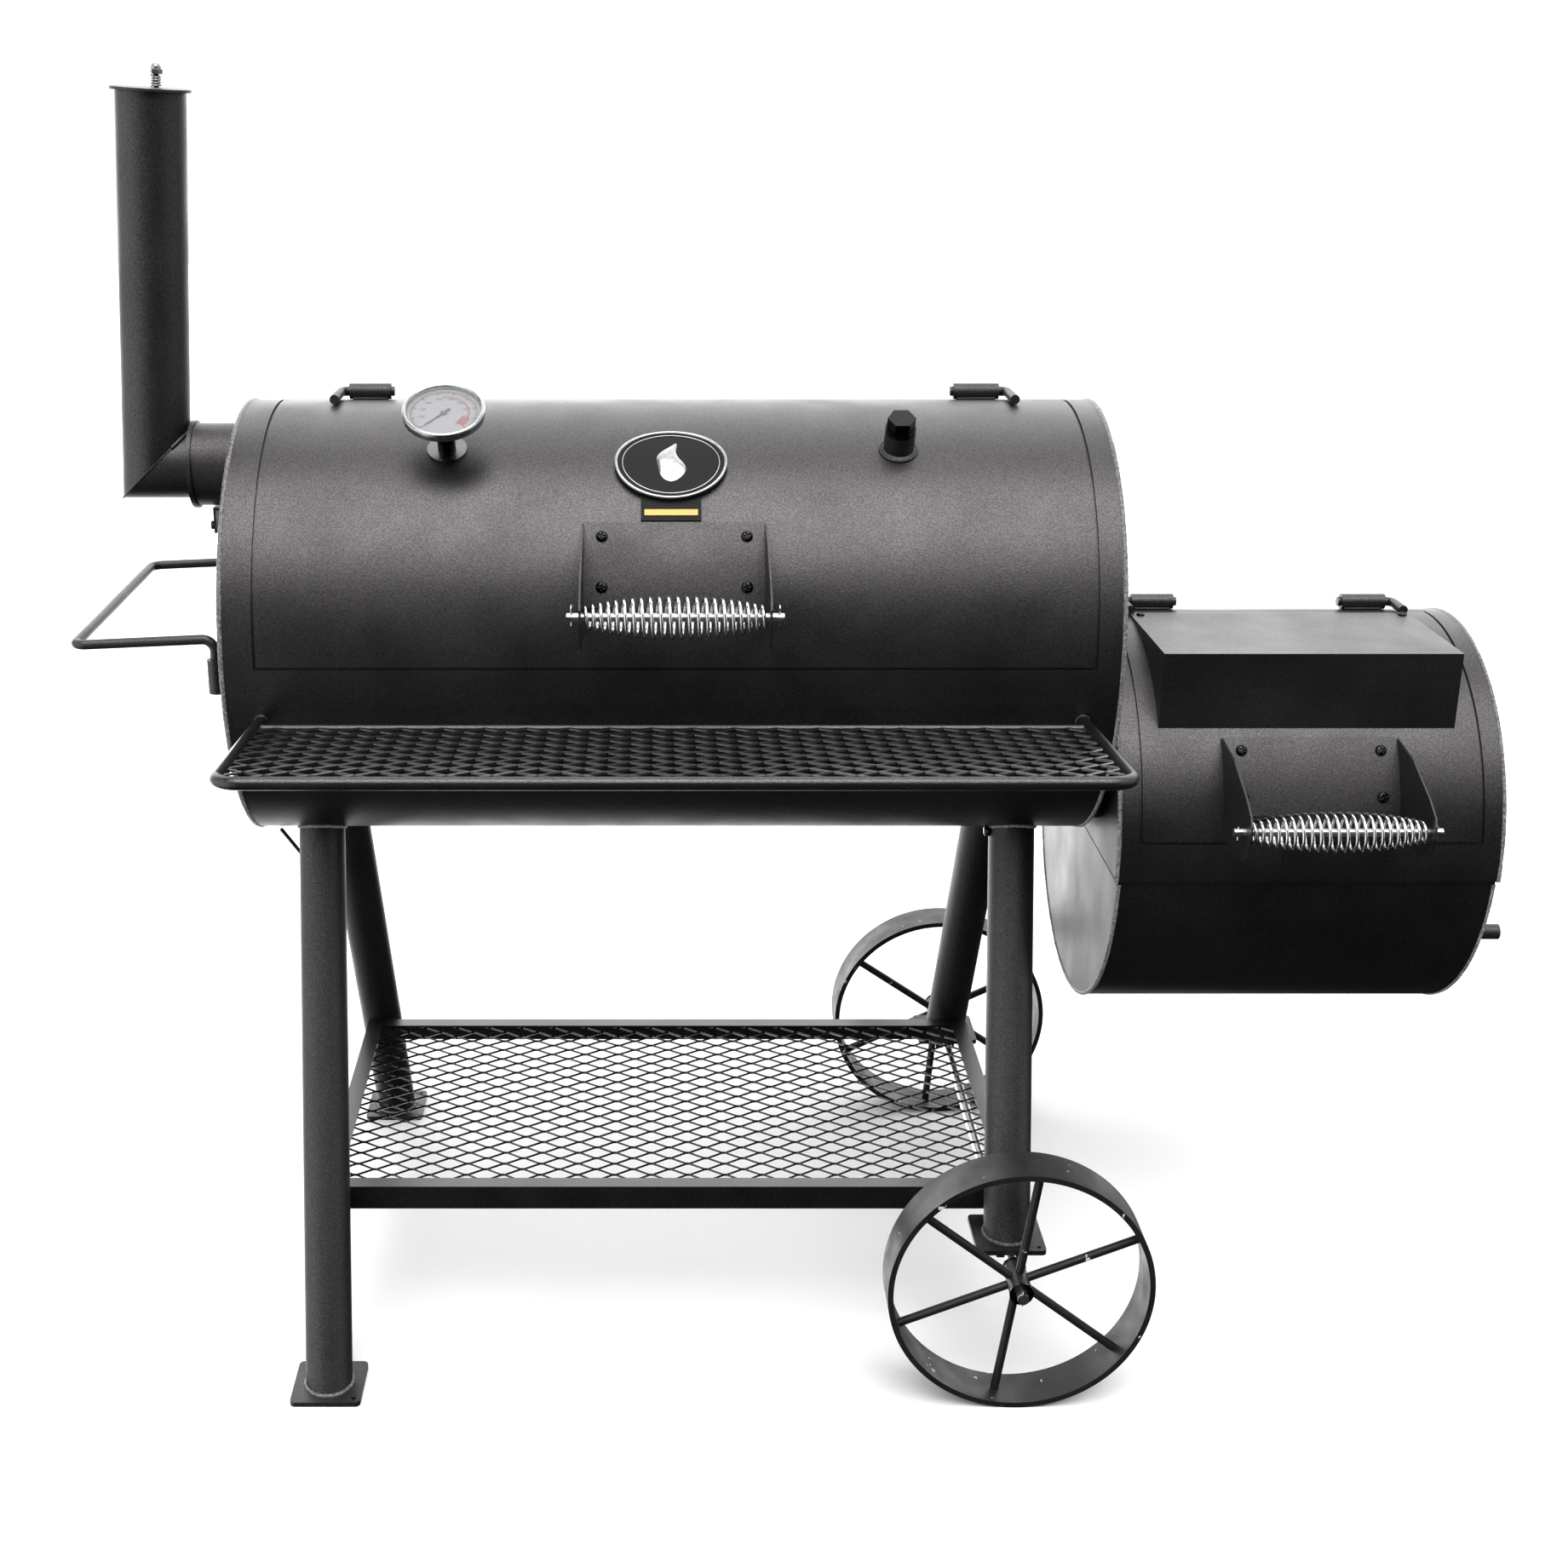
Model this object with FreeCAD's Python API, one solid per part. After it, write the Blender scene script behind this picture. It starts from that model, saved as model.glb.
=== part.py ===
"""Offset smoker: a lidded barrel on four splayed legs, with a firebox beside it and a stack.

Millimetres, +Z up, X along the barrel towards the firebox, Y to the rear, ground at z = 0.
An angle on a drum is measured at its axis, from the front horizontal upwards and over the top.
"""
import FreeCAD, Part
import math
import os

# ---- fits ----------------------------------------------------------------------------------------
REST_GAP = 0.3            # between fixed pieces that lie on each other
RUN_GAP = 0.05            # radial, between a pin and the bore that turns on it
SLIDE_GAP = 0.5           # between faces that slide past each other
SEAM = 3.0                # round a lid, between its edge and the drum
EMBED = 1.0               # depth that a welded piece runs into the one it joins

# ---- drums ---------------------------------------------------------------------------------------
SHEET = 3.0               # rolled steel sheet of both drums
CHAMBER_R = 254.0
CHAMBER_LENGTH = 981.8
CHAMBER_AXIS_Z = 847.0
CHAMBER_LID_LEFT_MARGIN = 39.0
CHAMBER_LID_RIGHT_MARGIN = 32.0
CHAMBER_LID_BOTTOM_DEG = 1.5
FIREBOX_R = 239.5
FIREBOX_LENGTH = 434.5
FIREBOX_DROP = 239.8       # of its axis, below the chamber's
FIREBOX_LID_MARGIN = 26.5
FIREBOX_LID_BOTTOM_DEG = 8.9
LID_REAR_DEG = 95.0
FIREBOX_SPLIT_DROP = 10.2  # of the joint between the halves, below the axis
FIREBOX_OVERLAP = 15.0     # that the lower half reaches up inside the upper
STRIP_WIDTH = 30.0         # inner strip that a lid closes on
STRIP_UNDER_LID = 12.0

# ---- neck between the drums ----------------------------------------------------------------------
NECK_GAP = 12.9
NECK_WIDTH = 250.0
NECK_WALL = 15.0
NECK_EDGE = 6.0            # between its corners and the edge of either drum

# ---- grates --------------------------------------------------------------------------------------
GRATE_DROP = 45.0          # of the cooking grates, below the chamber's axis
GRATE_COUNT = 3
GRATE_THICK = 6.0
GRATE_BAR = 7.0
GRATE_SLOT = 18.0
GRATE_RIM = 12.0
LEDGE_WIDTH = 26.0
CHARCOAL_DROP = 110.0      # of the charcoal grate, below the firebox's axis

# ---- lid hinges ----------------------------------------------------------------------------------
HINGE_TUBE_R = 9.25
HINGE_ROD_R = 5.5
HINGE_BEND = 9.0
HINGE_BEND_GAP = 0.5       # between a tube's end and the bend of its rod
HINGE_ROD_END = 4.0        # beyond a tube's other end
HINGE_ARM_REACH = 20.0     # of an arm, forward of the drum's crest
CHAMBER_HINGES = ((73.9, 49.0), (72.2, 53.2))   # inset of the left and right tube from the
FIREBOX_HINGES = ((31.7, 51.0), (40.8, 53.0))   # lid's ends, and length of each

# ---- lid handles ---------------------------------------------------------------------------------
BRACKET_WIDTH = 200.0
BRACKET_SHEET = 2.0
BRACKET_TOP_DEG = 37.5
BRACKET_BOTTOM_DEG = 16.0
EAR_FOOT_DEG = 9.5
EAR_OUTLINE = ((45.0, 29.0), (88.0, 20.5), (106.0, 17.0), (109.0, 15.2), (107.0, 13.2),
               (96.0, 9.4), (87.0, 8.6))   # stand-off from the lid, angle
GRIP_ROD_R = 4.75
GRIP_STANDOFF = 88.0
GRIP_DEG = 14.0
GRIP_ROD_END = 13.0        # beyond each ear
GRIP_MID_R = 22.7
GRIP_END_R = 12.2
GRIP_WALL = 4.0
SCREW_SPACING_X = 157.0
SCREW_TOP_DEG = 33.7
SCREW_BOTTOM_DEG = 21.1
SCREW_HEAD_R = 6.5
SCREW_HEAD_H = 4.0
COTTER_WIRE_R = 1.0
COTTER_LOOP_R = 3.5
COTTER_INSET = 5.0         # of a cotter, from the rod's end
CHAMBER_HANDLE_X = 2.4

# ---- badge ---------------------------------------------------------------------------------------
BADGE_X = -1.0
BADGE_DEG = 54.3
BADGE_WIDTH = 124.0
BADGE_HEIGHT = 98.0
BADGE_THICK = 7.0
TAB_WIDTH = 65.5
TAB_TOP_DEG = 46.0
TAB_BOTTOM_DEG = 37.9
TAB_THICK = 2.0
TAG_WIDTH = 58.0
TAG_MID_DEG = 40.0
TAG_HEIGHT_DEG = 1.6
TAG_THICK = 0.8

# ---- thermometer and plugged port, each on the lid's radius --------------------------------------
FITTING_DEG = 60.4
GAUGE_INSET = 202.9        # from the lid's left end
GAUGE_WASHER_R = 22.0
GAUGE_WASHER_H = 2.0
GAUGE_NECK_R = 10.0
GAUGE_CASE_R = 45.0
GAUGE_CASE_H = 8.5
GAUGE_CASE_STANDOFF = 47.5
GAUGE_RIM = 3.0
GAUGE_FLOOR = 2.0
GAUGE_PROBE_R = 4.0
GAUGE_PROBE_DEPTH = 70.0
DIAL_THICK = 1.0
DIAL_PIN_R = 1.0
DIAL_PIN_H = 2.4
NEEDLE_THICK = 0.8
NEEDLE_TIP = 33.0
NEEDLE_TAIL = 9.0
NEEDLE_HUB_R = 3.5
NEEDLE_HALF_WIDTH = 1.6
NEEDLE_REST_DEG = 228.0    # about the dial, from the barrel's direction towards the crest
GLASS_THICK = 1.6
PORT_INSET = 207.4         # from the lid's right end
PORT_R = 17.0
PORT_H = 26.0
PORT_WALL = 6.2
PORT_WELD_R = 21.7
PORT_WELD_H = 3.0
PLUG_COLLAR_H = 4.0
PLUG_HEX_AF = 27.0
PLUG_HEX_H = 14.0
PLUG_SHANK_H = 20.0

# ---- stack ---------------------------------------------------------------------------------------
STACK_DROP = 72.3          # of its run, below the chamber's crest
STACK_R = 38.9
STACK_WALL = 2.0
STACK_RUN = 111.0          # from the chamber's end to the elbow's corner
STACK_LEAN_DEG = 3.5
STACK_TOP = 414.3          # of the pipe, above its run
COLLAR_INSET = 5.1         # between its mouth and the elbow's upright pipe
COLLAR_WALL = 8.5
COLLAR_LIP = 3.0
COLLAR_LIP_LENGTH = 5.0
STRAP_REACH = 47.0
STRAP_WIDTH = 22.0
STRAP_THICK = 3.0
STRAP_GAP = 2.3            # below the collar
STRAP_LEG = 30.0
STRAP_BOLT_R = 5.0
STRAP_BOLT_HEAD = 5.0
CAP_LAP = 5.6              # beyond the pipe
CAP_THICK = 3.0
CAP_PIVOT_INSET = 9.9      # of the bolt, from the pipe's outside
CAP_BOLT_R = 3.0
CAP_TAB_HALF = 8.0
CAP_TAB_THICK = 3.0
CAP_SPRING_R = 6.2
CAP_SPRING_H = 13.0
CAP_NUT_R = 7.0
CAP_NUT_H = 8.0

# ---- side handle ---------------------------------------------------------------------------------
SIDE_ROD_R = 5.5
SIDE_SOCKET_R = 9.5
SIDE_SOCKET_BOTTOM = -30.0  # from the chamber's axis
SIDE_SOCKET_TOP = 21.0
SIDE_ROD_Z = 31.0
SIDE_DROOP = 7.0
SIDE_REACH = 164.0
SIDE_FRONT_INSET = 28.0    # of the front socket, from the chamber's front
SIDE_REAR_INSET = 99.0     # of the rear socket, from its back
SIDE_BEND = 13.0

# ---- legs, feet, axle and wheels -----------------------------------------------------------------
LEG_R = 27.25
LEG_WALL = 2.0
LEG_TOP_HALF_Y = 82.5
LEG_INSETS = (72.9, 80.5)  # of the leg tops, from the chamber's left and right ends
LEG_SPLAY_Y = 0.4383       # outwards, for each mm down
LEG_SPLAY_X = 0.027        # inwards, for each mm down
PLATE_SIDE = 81.7
PLATE_THICK = 6.0
PLATE_CORNER = 6.0
PLATE_HOLE_R = 2.6
PLATE_HOLE_EDGE = 8.0
WHEEL_R = 152.1
WHEEL_WIDTH = 56.2
WHEEL_RIM = 6.5
WHEEL_GAP = 14.6           # between an axle plate and the inner washer
WHEEL_HUB_R = 13.0
WHEEL_HUB_LENGTH = 50.0
SPOKE_R = 5.0
SPOKE_COUNT = 6
SPOKE_PHASES = (7.5, 4.0)  # front wheel, rear wheel
AXLE_R = 6.5
AXLE_END = 15.0            # beyond each hub
WASHER_R = 14.0
WASHER_THICK = 2.5
LUG_HALF_X = 13.0
LUG_HALF_Y = 15.0
LUG_BELOW = 12.0

# ---- shelves and bucket hook ---------------------------------------------------------------------
LOWER_SHELF_GAP = 5.1      # above the axle plates
LOWER_SHELF_BEYOND = 13.0  # of its end, past the middle of the left legs
ANGLE_FLANGE = 21.0
ANGLE_DEPTH = 30.0
ANGLE_THICK = 3.0
MESH_THICK = 2.0
MESH_PITCH_X = 45.0
MESH_PITCH_Y = 27.0
MESH_STRAND = 2.8
MESH_RIM = 3.0
FRONT_ROD_R = 7.0
FRONT_INSET = 40.0         # of its side rods, from the chamber's ends
FRONT_REACH = 259.0        # of the front rod, beyond the barrel
FRONT_DROP = 36.4          # of the front rod, below the chamber's axis
FRONT_SLOPE = 0.0777       # down towards the barrel
FRONT_BEND = 25.0
FRONT_CROSS_R = 4.75
FRONT_CROSS_GAP = 27.0     # of the cross rod, beyond the barrel
HOOK_R = 2.25
HOOK_TIP_INSET = 21.4      # from the chamber's left end
HOOK_TIP_Y = -75.0
HOOK_TIP_GAP = 3.8         # below the barrel
HOOK_BEND = 8.0
HOOK_WELD_DROPS = (24.0, 58.0)   # of the weld's ends, below the barrel
HOOK_WELD_DEG = 45.0       # round the leg, from its left towards its rear

# ---- warming top on the firebox lid --------------------------------------------------------------
WARM_SHEET = 2.0
WARM_INSETS = (21.2, 25.3)  # from the lid's left and right ends
WARM_FOOT_DEG = 40.25
WARM_LIFT = 0.5
WARM_SCREW_R = 5.0
WARM_SCREW_H = 3.0
WARM_SCREW_INSET = 11.0

# ---- side door, latch and air damper -------------------------------------------------------------
DOOR_EDGE = 8.44           # between its lower corners and the edge of the drum
DOOR_TOP_DROP = 17.0       # below the firebox's axis
DOOR_HEIGHT = 140.0
DOOR_LAP = 15.0            # round the doorway
DOOR_SHEET = 3.0
KNUCKLE_R = 7.0
KNUCKLE_PIN_R = 4.0
KNUCKLE_H = 26.0
KNUCKLE_INSET = 12.0       # from the door's top and bottom edges
KNUCKLE_BEYOND = 5.0       # of the hinge line, past the door's edge
LATCH_INSET = 19.0         # from the door's front edge
LATCH_BAR_THICK = 3.0
LATCH_BAR_HALF = 7.0
LATCH_REACH = 56.0
LATCH_PIN_R = 3.5
LATCH_KNOB_R = 9.0
LATCH_KNOB_H = 19.0
KEEPER_BEYOND = 13.0       # past the door's front edge
KEEPER_WIDTH = 8.0
KEEPER_THICK = 3.0
DAMPER_R = 50.0
DAMPER_THICK = 2.0
DAMPER_HOLE_R = 12.0
DAMPER_HOLE_RING = 31.0
DAMPER_HOLE_COUNT = 4
DAMPER_PIN_R = 3.0
DAMPER_KNOB_R = 5.0
DAMPER_KNOB_H = 14.0
DAMPER_OPEN_DEG = 45.0

# ---- worked out ----------------------------------------------------------------------------------
V = FreeCAD.Vector
CHAMBER_LEFT = -CHAMBER_LENGTH / 2
CHAMBER_RIGHT = CHAMBER_LENGTH / 2
CHAMBER_LID_X = (CHAMBER_LEFT + CHAMBER_LID_LEFT_MARGIN, CHAMBER_RIGHT - CHAMBER_LID_RIGHT_MARGIN)
GAUGE_X = CHAMBER_LID_X[0] + GAUGE_INSET
PORT_X = CHAMBER_LID_X[1] - PORT_INSET
STACK_Z = CHAMBER_AXIS_Z + CHAMBER_R - STACK_DROP
COLLAR_R = STACK_R + REST_GAP + COLLAR_WALL
COLLAR_LENGTH = STACK_RUN - STACK_R - COLLAR_INSET
CAP_PIVOT_OFFSET = STACK_R - CAP_PIVOT_INSET
SIDE_FRONT_Y = SIDE_FRONT_INSET - CHAMBER_R
SIDE_REAR_Y = CHAMBER_R - SIDE_REAR_INSET
FRONT_HALF_X = CHAMBER_RIGHT - FRONT_INSET
FRONT_Y = -CHAMBER_R - FRONT_REACH
FRONT_CROSS_Y = -CHAMBER_R - FRONT_CROSS_GAP
FIREBOX_LEFT = CHAMBER_RIGHT + NECK_GAP
FIREBOX_RIGHT = FIREBOX_LEFT + FIREBOX_LENGTH
FIREBOX_MIDDLE_X = (FIREBOX_LEFT + FIREBOX_RIGHT) / 2
FIREBOX_LID_X = (FIREBOX_LEFT + FIREBOX_LID_MARGIN, FIREBOX_RIGHT - FIREBOX_LID_MARGIN)
WARM_LEFT = FIREBOX_LID_X[0] + WARM_INSETS[0]
WARM_RIGHT = FIREBOX_LID_X[1] - WARM_INSETS[1]
FIREBOX_AXIS_Z = CHAMBER_AXIS_Z - FIREBOX_DROP
LOWER_R = FIREBOX_R - SHEET - REST_GAP
LOWER_LEFT = FIREBOX_LEFT + SHEET + REST_GAP
LOWER_RIGHT = FIREBOX_RIGHT - SHEET - REST_GAP
AXLE_PLATE_Z = WHEEL_R + AXLE_R + REST_GAP
LOWER_SHELF_Z = AXLE_PLATE_Z + PLATE_THICK + LOWER_SHELF_GAP + ANGLE_DEPTH
DOOR_MID_Z = FIREBOX_AXIS_Z - DOOR_TOP_DROP - DOOR_HEIGHT / 2
DOOR_FACE_X = LOWER_RIGHT + REST_GAP + DOOR_SHEET
DOOR_HALF_Y = math.sqrt((LOWER_R - DOOR_EDGE) ** 2 - (DOOR_TOP_DROP + DOOR_HEIGHT) ** 2)
LATCH_Y = LATCH_INSET - DOOR_HALF_Y
KEEPER_Y = -DOOR_HALF_Y - KEEPER_BEYOND
KNUCKLE_X = LOWER_RIGHT + KNUCKLE_R + SLIDE_GAP
KNUCKLE_Y = DOOR_HALF_Y + KNUCKLE_BEYOND


# ---- shapes --------------------------------------------------------------------------------------
def box(x0, x1, y0, y1, z0, z1):
    """Block between two corners."""
    return Part.makeBox(x1 - x0, y1 - y0, z1 - z0, V(x0, y0, z0))


def rod(start, end, radius):
    """Round bar between two points."""
    along = end - start
    return Part.makeCylinder(radius, along.Length, start, along)


def tube(start, end, r_out, r_in):
    """Round tube between two points."""
    return rod(start, end, r_out).cut(rod(start, end, r_in))


def joined(first, others):
    """One welded solid."""
    return first.fuse(others).removeSplitter()


def group(solids):
    """Separate solids that share a node."""
    return Part.makeCompound(solids)


def bent_rod(points, bend, radius):
    """Round bar along straight runs, joined by bends of one centre-line radius."""
    edges = []
    start = points[0]
    for before, corner, after in zip(points, points[1:], points[2:]):
        into = (corner - before).normalize()
        out = (after - corner).normalize()
        half = into.getAngle(out) / 2
        first = corner - into * (bend * math.tan(half))
        last = corner + out * (bend * math.tan(half))
        inward = V(out - into).normalize()
        middle = corner + inward * (bend / math.cos(half) - bend)
        edges.append(Part.makeLine(start, first))
        edges.append(Part.Arc(first, middle, last).toShape())
        start = last
    edges.append(Part.makeLine(start, points[-1]))
    section = Part.Face(Part.Wire(Part.makeCircle(radius, points[0], points[1] - points[0])))
    return Part.Wire(edges).makePipe(section)


def on_drum(x, radius, degrees, axis_z):
    """Point at a radius and an angle round a drum."""
    angle = math.radians(degrees)
    return V(x, -radius * math.cos(angle), axis_z + radius * math.sin(angle))


def outward(degrees):
    """Direction away from a drum's axis at an angle."""
    return on_drum(0.0, 1.0, degrees, 0.0)


def drum_sheet(x0, x1, r_in, r_out, from_deg, to_deg, axis_z):
    """Rolled sheet between two radii and two angles."""
    middle = (from_deg + to_deg) / 2
    outer = [on_drum(x0, r_out, d, axis_z) for d in (from_deg, middle, to_deg)]
    inner = [on_drum(x0, r_in, d, axis_z) for d in (to_deg, middle, from_deg)]
    edges = [
        Part.Arc(*outer).toShape(),
        Part.makeLine(outer[2], inner[0]),
        Part.Arc(*inner).toShape(),
        Part.makeLine(inner[2], outer[0]),
    ]
    return Part.Face(Part.Wire(edges)).extrude(V(x1 - x0, 0, 0))


def drum(x0, x1, radius, axis_z):
    """Solid cylinder of a drum."""
    return rod(V(x0, 0, axis_z), V(x1, 0, axis_z), radius)


def plate_with_holes(outline, holes, thickness):
    """Flat plate from an outer loop of points and inner loops, all at one height."""
    wires = [Part.makePolygon(loop + [loop[0]]) for loop in [outline] + holes]
    return Part.Face(wires).extrude(V(0, 0, thickness))


def loop(x0, x1, y0, y1, z):
    """Corners of a level rectangle."""
    return [V(x0, y0, z), V(x1, y0, z), V(x1, y1, z), V(x0, y1, z)]


def turned(profile, base, direction):
    """Solid of revolution from (radius, height) points, set on a base along a direction."""
    points = [V(r, 0, h) for r, h in profile]
    face = Part.Face(Part.makePolygon(points + [points[0]]))
    solid = face.revolve(V(0, 0, 0), V(0, 0, 1), 360)
    return placed(solid, base, direction)


def placed(solid, base, direction):
    """Solid drawn about +Z at the origin, moved to a base and turned to a direction."""
    return moved(solid, base, FreeCAD.Rotation(V(0, 0, 1), direction))


def moved(solid, base, turn):
    """Copy of a solid at a placement."""
    copy = solid.copy()
    copy.Placement = FreeCAD.Placement(base, turn).multiply(copy.Placement)
    return copy


# ---- drums ---------------------------------------------------------------------------------------
def lidded_shell(x0, x1, radius, axis_z, lid_x, bottom_deg, from_deg, to_deg):
    """Drum sheet with the opening that its lid fills; the sheet starts and ends at two angles."""
    seam_deg = math.degrees(SEAM / radius)
    left = lid_x[0] - SEAM
    right = lid_x[1] + SEAM
    r_in = radius - SHEET
    rear = drum_sheet(x0, x1, r_in, radius, LID_REAR_DEG + seam_deg, to_deg, axis_z)
    sides = [
        drum_sheet(x0, left, r_in, radius, from_deg, LID_REAR_DEG + 2 * seam_deg, axis_z),
        drum_sheet(right, x1, r_in, radius, from_deg, LID_REAR_DEG + 2 * seam_deg, axis_z),
    ]
    if bottom_deg - seam_deg > from_deg:
        sides.append(drum_sheet(x0, x1, r_in, radius, from_deg, bottom_deg - seam_deg, axis_z))
    return joined(rear, sides)


def lid_strips(radius, axis_z, lid_x, bottom_deg):
    """Strips inside a drum that stand under the lid's edge: one each side and one below."""
    r_out = radius - SHEET - REST_GAP
    r_in = r_out - SHEET
    half_deg = math.degrees(STRIP_WIDTH / 2 / radius)
    left = (lid_x[0] + STRIP_UNDER_LID - STRIP_WIDTH, lid_x[0] + STRIP_UNDER_LID)
    right = (lid_x[1] - STRIP_UNDER_LID, lid_x[1] - STRIP_UNDER_LID + STRIP_WIDTH)
    low = bottom_deg + half_deg
    strips = [drum_sheet(a, b, r_in, r_out, low, LID_REAR_DEG, axis_z) for a, b in (left, right)]
    strips.append(drum_sheet(left[0], right[1], r_in, r_out, bottom_deg - half_deg, low, axis_z))
    return group(strips)


def disc_part(x0, x1, radius, axis_z, split_z, upper):
    """Part of an end disc above or below a level."""
    keep = box(x0 - 1, x1 + 1, -radius, radius, split_z, axis_z + radius)
    if not upper:
        keep = box(x0 - 1, x1 + 1, -radius, radius, axis_z - radius, split_z)
    return drum(x0, x1, radius, axis_z).common(keep)


def slotted_grate(x0, x1, y0, y1, z, slot, bar):
    """Flat grate with slots along Y."""
    first = x0 + GRATE_RIM
    count = int((x1 - GRATE_RIM - first + bar) // (slot + bar))
    pitch = (x1 - GRATE_RIM - first + bar) / count
    slots = []
    for index in range(count):
        left = first + index * pitch
        slots.append(loop(left, left + pitch - bar, y0 + GRATE_RIM, y1 - GRATE_RIM, z))
    return plate_with_holes(loop(x0, x1, y0, y1, z), slots, GRATE_THICK)


def chord(radius, height):
    """Half width of a circle at a height from its centre."""
    return math.sqrt(radius ** 2 - height ** 2)


# ---- hinges and handles --------------------------------------------------------------------------
def hinge_spans(lid_x, hinges):
    """Ends of a lid's two hinge tubes, and the side that each arm stands on."""
    (left_inset, left_length), (right_inset, right_length) = hinges
    left = lid_x[0] + left_inset
    right = lid_x[1] - right_inset
    return (left, left + left_length, -1), (right - right_length, right, 1)


def hinge_pivot(radius, axis_z):
    """Centre of a lid's hinge line at x = 0: the tubes lie on the drum, and the arms on its crest."""
    reach = radius + HINGE_TUBE_R + REST_GAP
    rise = radius + HINGE_ROD_R + REST_GAP
    return V(0, chord(reach, rise), axis_z + rise)


def hinge_tubes(radius, axis_z, spans):
    """Tubes that lie on the drum behind the lid."""
    pivot = hinge_pivot(radius, axis_z)
    bore = HINGE_ROD_R + RUN_GAP
    return [tube(pivot + V(a, 0, 0), pivot + V(b, 0, 0), HINGE_TUBE_R, bore) for a, b, _ in spans]


def hinge_rods(radius, axis_z, spans, front_y):
    """Rods that turn in the tubes and bend forward over the lid."""
    pivot = hinge_pivot(radius, axis_z)
    rods = []
    for low, high, side in spans:
        inner, outer = (low, high) if side > 0 else (high, low)
        arm_x = outer + side * (HINGE_BEND_GAP + HINGE_BEND)
        path = [
            pivot + V(inner - side * HINGE_ROD_END, 0, 0),
            pivot + V(arm_x, 0, 0),
            V(arm_x, front_y, pivot.z),
        ]
        rods.append(bent_rod(path, HINGE_BEND, HINGE_ROD_R))
    return group(rods)


def ear(x0, radius, axis_z):
    """Side cheek of a handle bracket."""
    foot = radius + REST_GAP
    points = [on_drum(x0, radius + off, deg, axis_z) for off, deg in EAR_OUTLINE]
    top = on_drum(x0, foot, BRACKET_TOP_DEG, axis_z)
    low = on_drum(x0, foot, EAR_FOOT_DEG, axis_z)
    middle = on_drum(x0, foot, (BRACKET_TOP_DEG + EAR_FOOT_DEG) / 2, axis_z)
    edges = [Part.Arc(low, middle, top).toShape()]
    rim = [top] + points + [low]
    edges += [Part.makeLine(a, b) for a, b in zip(rim, rim[1:])]
    return Part.Face(Part.Wire(edges)).extrude(V(BRACKET_SHEET, 0, 0))


def handle_bracket(x, radius, axis_z):
    """Folded sheet: a curved plate on the lid and an ear at each side."""
    left = x - BRACKET_WIDTH / 2
    right = x + BRACKET_WIDTH / 2
    foot = radius + REST_GAP
    plate = drum_sheet(left, right, foot, foot + BRACKET_SHEET,
                       BRACKET_BOTTOM_DEG, BRACKET_TOP_DEG, axis_z)
    ears = [ear(left, radius, axis_z), ear(right - BRACKET_SHEET, radius, axis_z)]
    grip = on_drum(0.0, radius + GRIP_STANDOFF, GRIP_DEG, axis_z)
    bore = rod(grip + V(left - 1, 0, 0), grip + V(right + 1, 0, 0), GRIP_ROD_R + REST_GAP)
    screws = [rod(base - outward(deg) * BRACKET_SHEET, base + outward(deg) * BRACKET_SHEET,
                  SCREW_HEAD_R / 2 + REST_GAP) for base, deg in screw_places(x, radius, axis_z)]
    return joined(plate, ears).cut([bore] + screws)


def screw_places(x, radius, axis_z):
    """Places of the four handle screws, on the bracket's face."""
    face = radius + REST_GAP + BRACKET_SHEET
    places = []
    for side in (-1, 1):
        for deg in (SCREW_TOP_DEG, SCREW_BOTTOM_DEG):
            places.append((on_drum(x + side * SCREW_SPACING_X / 2, face, deg, axis_z), deg))
    return places


def screw(base, direction, head_r, head_h, shank):
    """Round-headed screw whose head stands on a base."""
    profile = [(0, -shank), (head_r / 2, -shank), (head_r / 2, REST_GAP), (head_r, REST_GAP),
               (head_r, head_h / 2), (head_r * 0.6, head_h), (0, head_h)]
    return turned(profile, base, direction)


def handle_rod(x, radius, axis_z):
    """Rod through both ears, drilled at each end for a cotter."""
    grip = on_drum(x, radius + GRIP_STANDOFF, GRIP_DEG, axis_z)
    half = BRACKET_WIDTH / 2 + GRIP_ROD_END
    bar = rod(grip - V(half, 0, 0), grip + V(half, 0, 0), GRIP_ROD_R)
    for side in (-1, 1):
        middle = grip + V(side * (half - COTTER_INSET), 0, 0)
        drill = V(0, 0, 2 * GRIP_ROD_R)
        bar = bar.cut(rod(middle - drill, middle + drill, COTTER_WIRE_R + RUN_GAP))
    return bar


def cotter(middle, bar_r):
    """Ring pin down through a bar."""
    pin = rod(middle - V(0, 0, bar_r + 4 * COTTER_WIRE_R),
              middle + V(0, 0, bar_r + 2 * COTTER_WIRE_R), COTTER_WIRE_R)
    ring = Part.makeTorus(COTTER_LOOP_R, COTTER_WIRE_R,
                          middle + V(0, 0, bar_r + COTTER_WIRE_R + COTTER_LOOP_R), V(1, 0, 0))
    return joined(pin, [ring])


def handle_cotters(x, radius, axis_z):
    """Cotters at the ends of a handle rod."""
    grip = on_drum(x, radius + GRIP_STANDOFF, GRIP_DEG, axis_z)
    reach = BRACKET_WIDTH / 2 + GRIP_ROD_END - COTTER_INSET
    return group([cotter(grip + V(side * reach, 0, 0), GRIP_ROD_R) for side in (-1, 1)])


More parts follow.
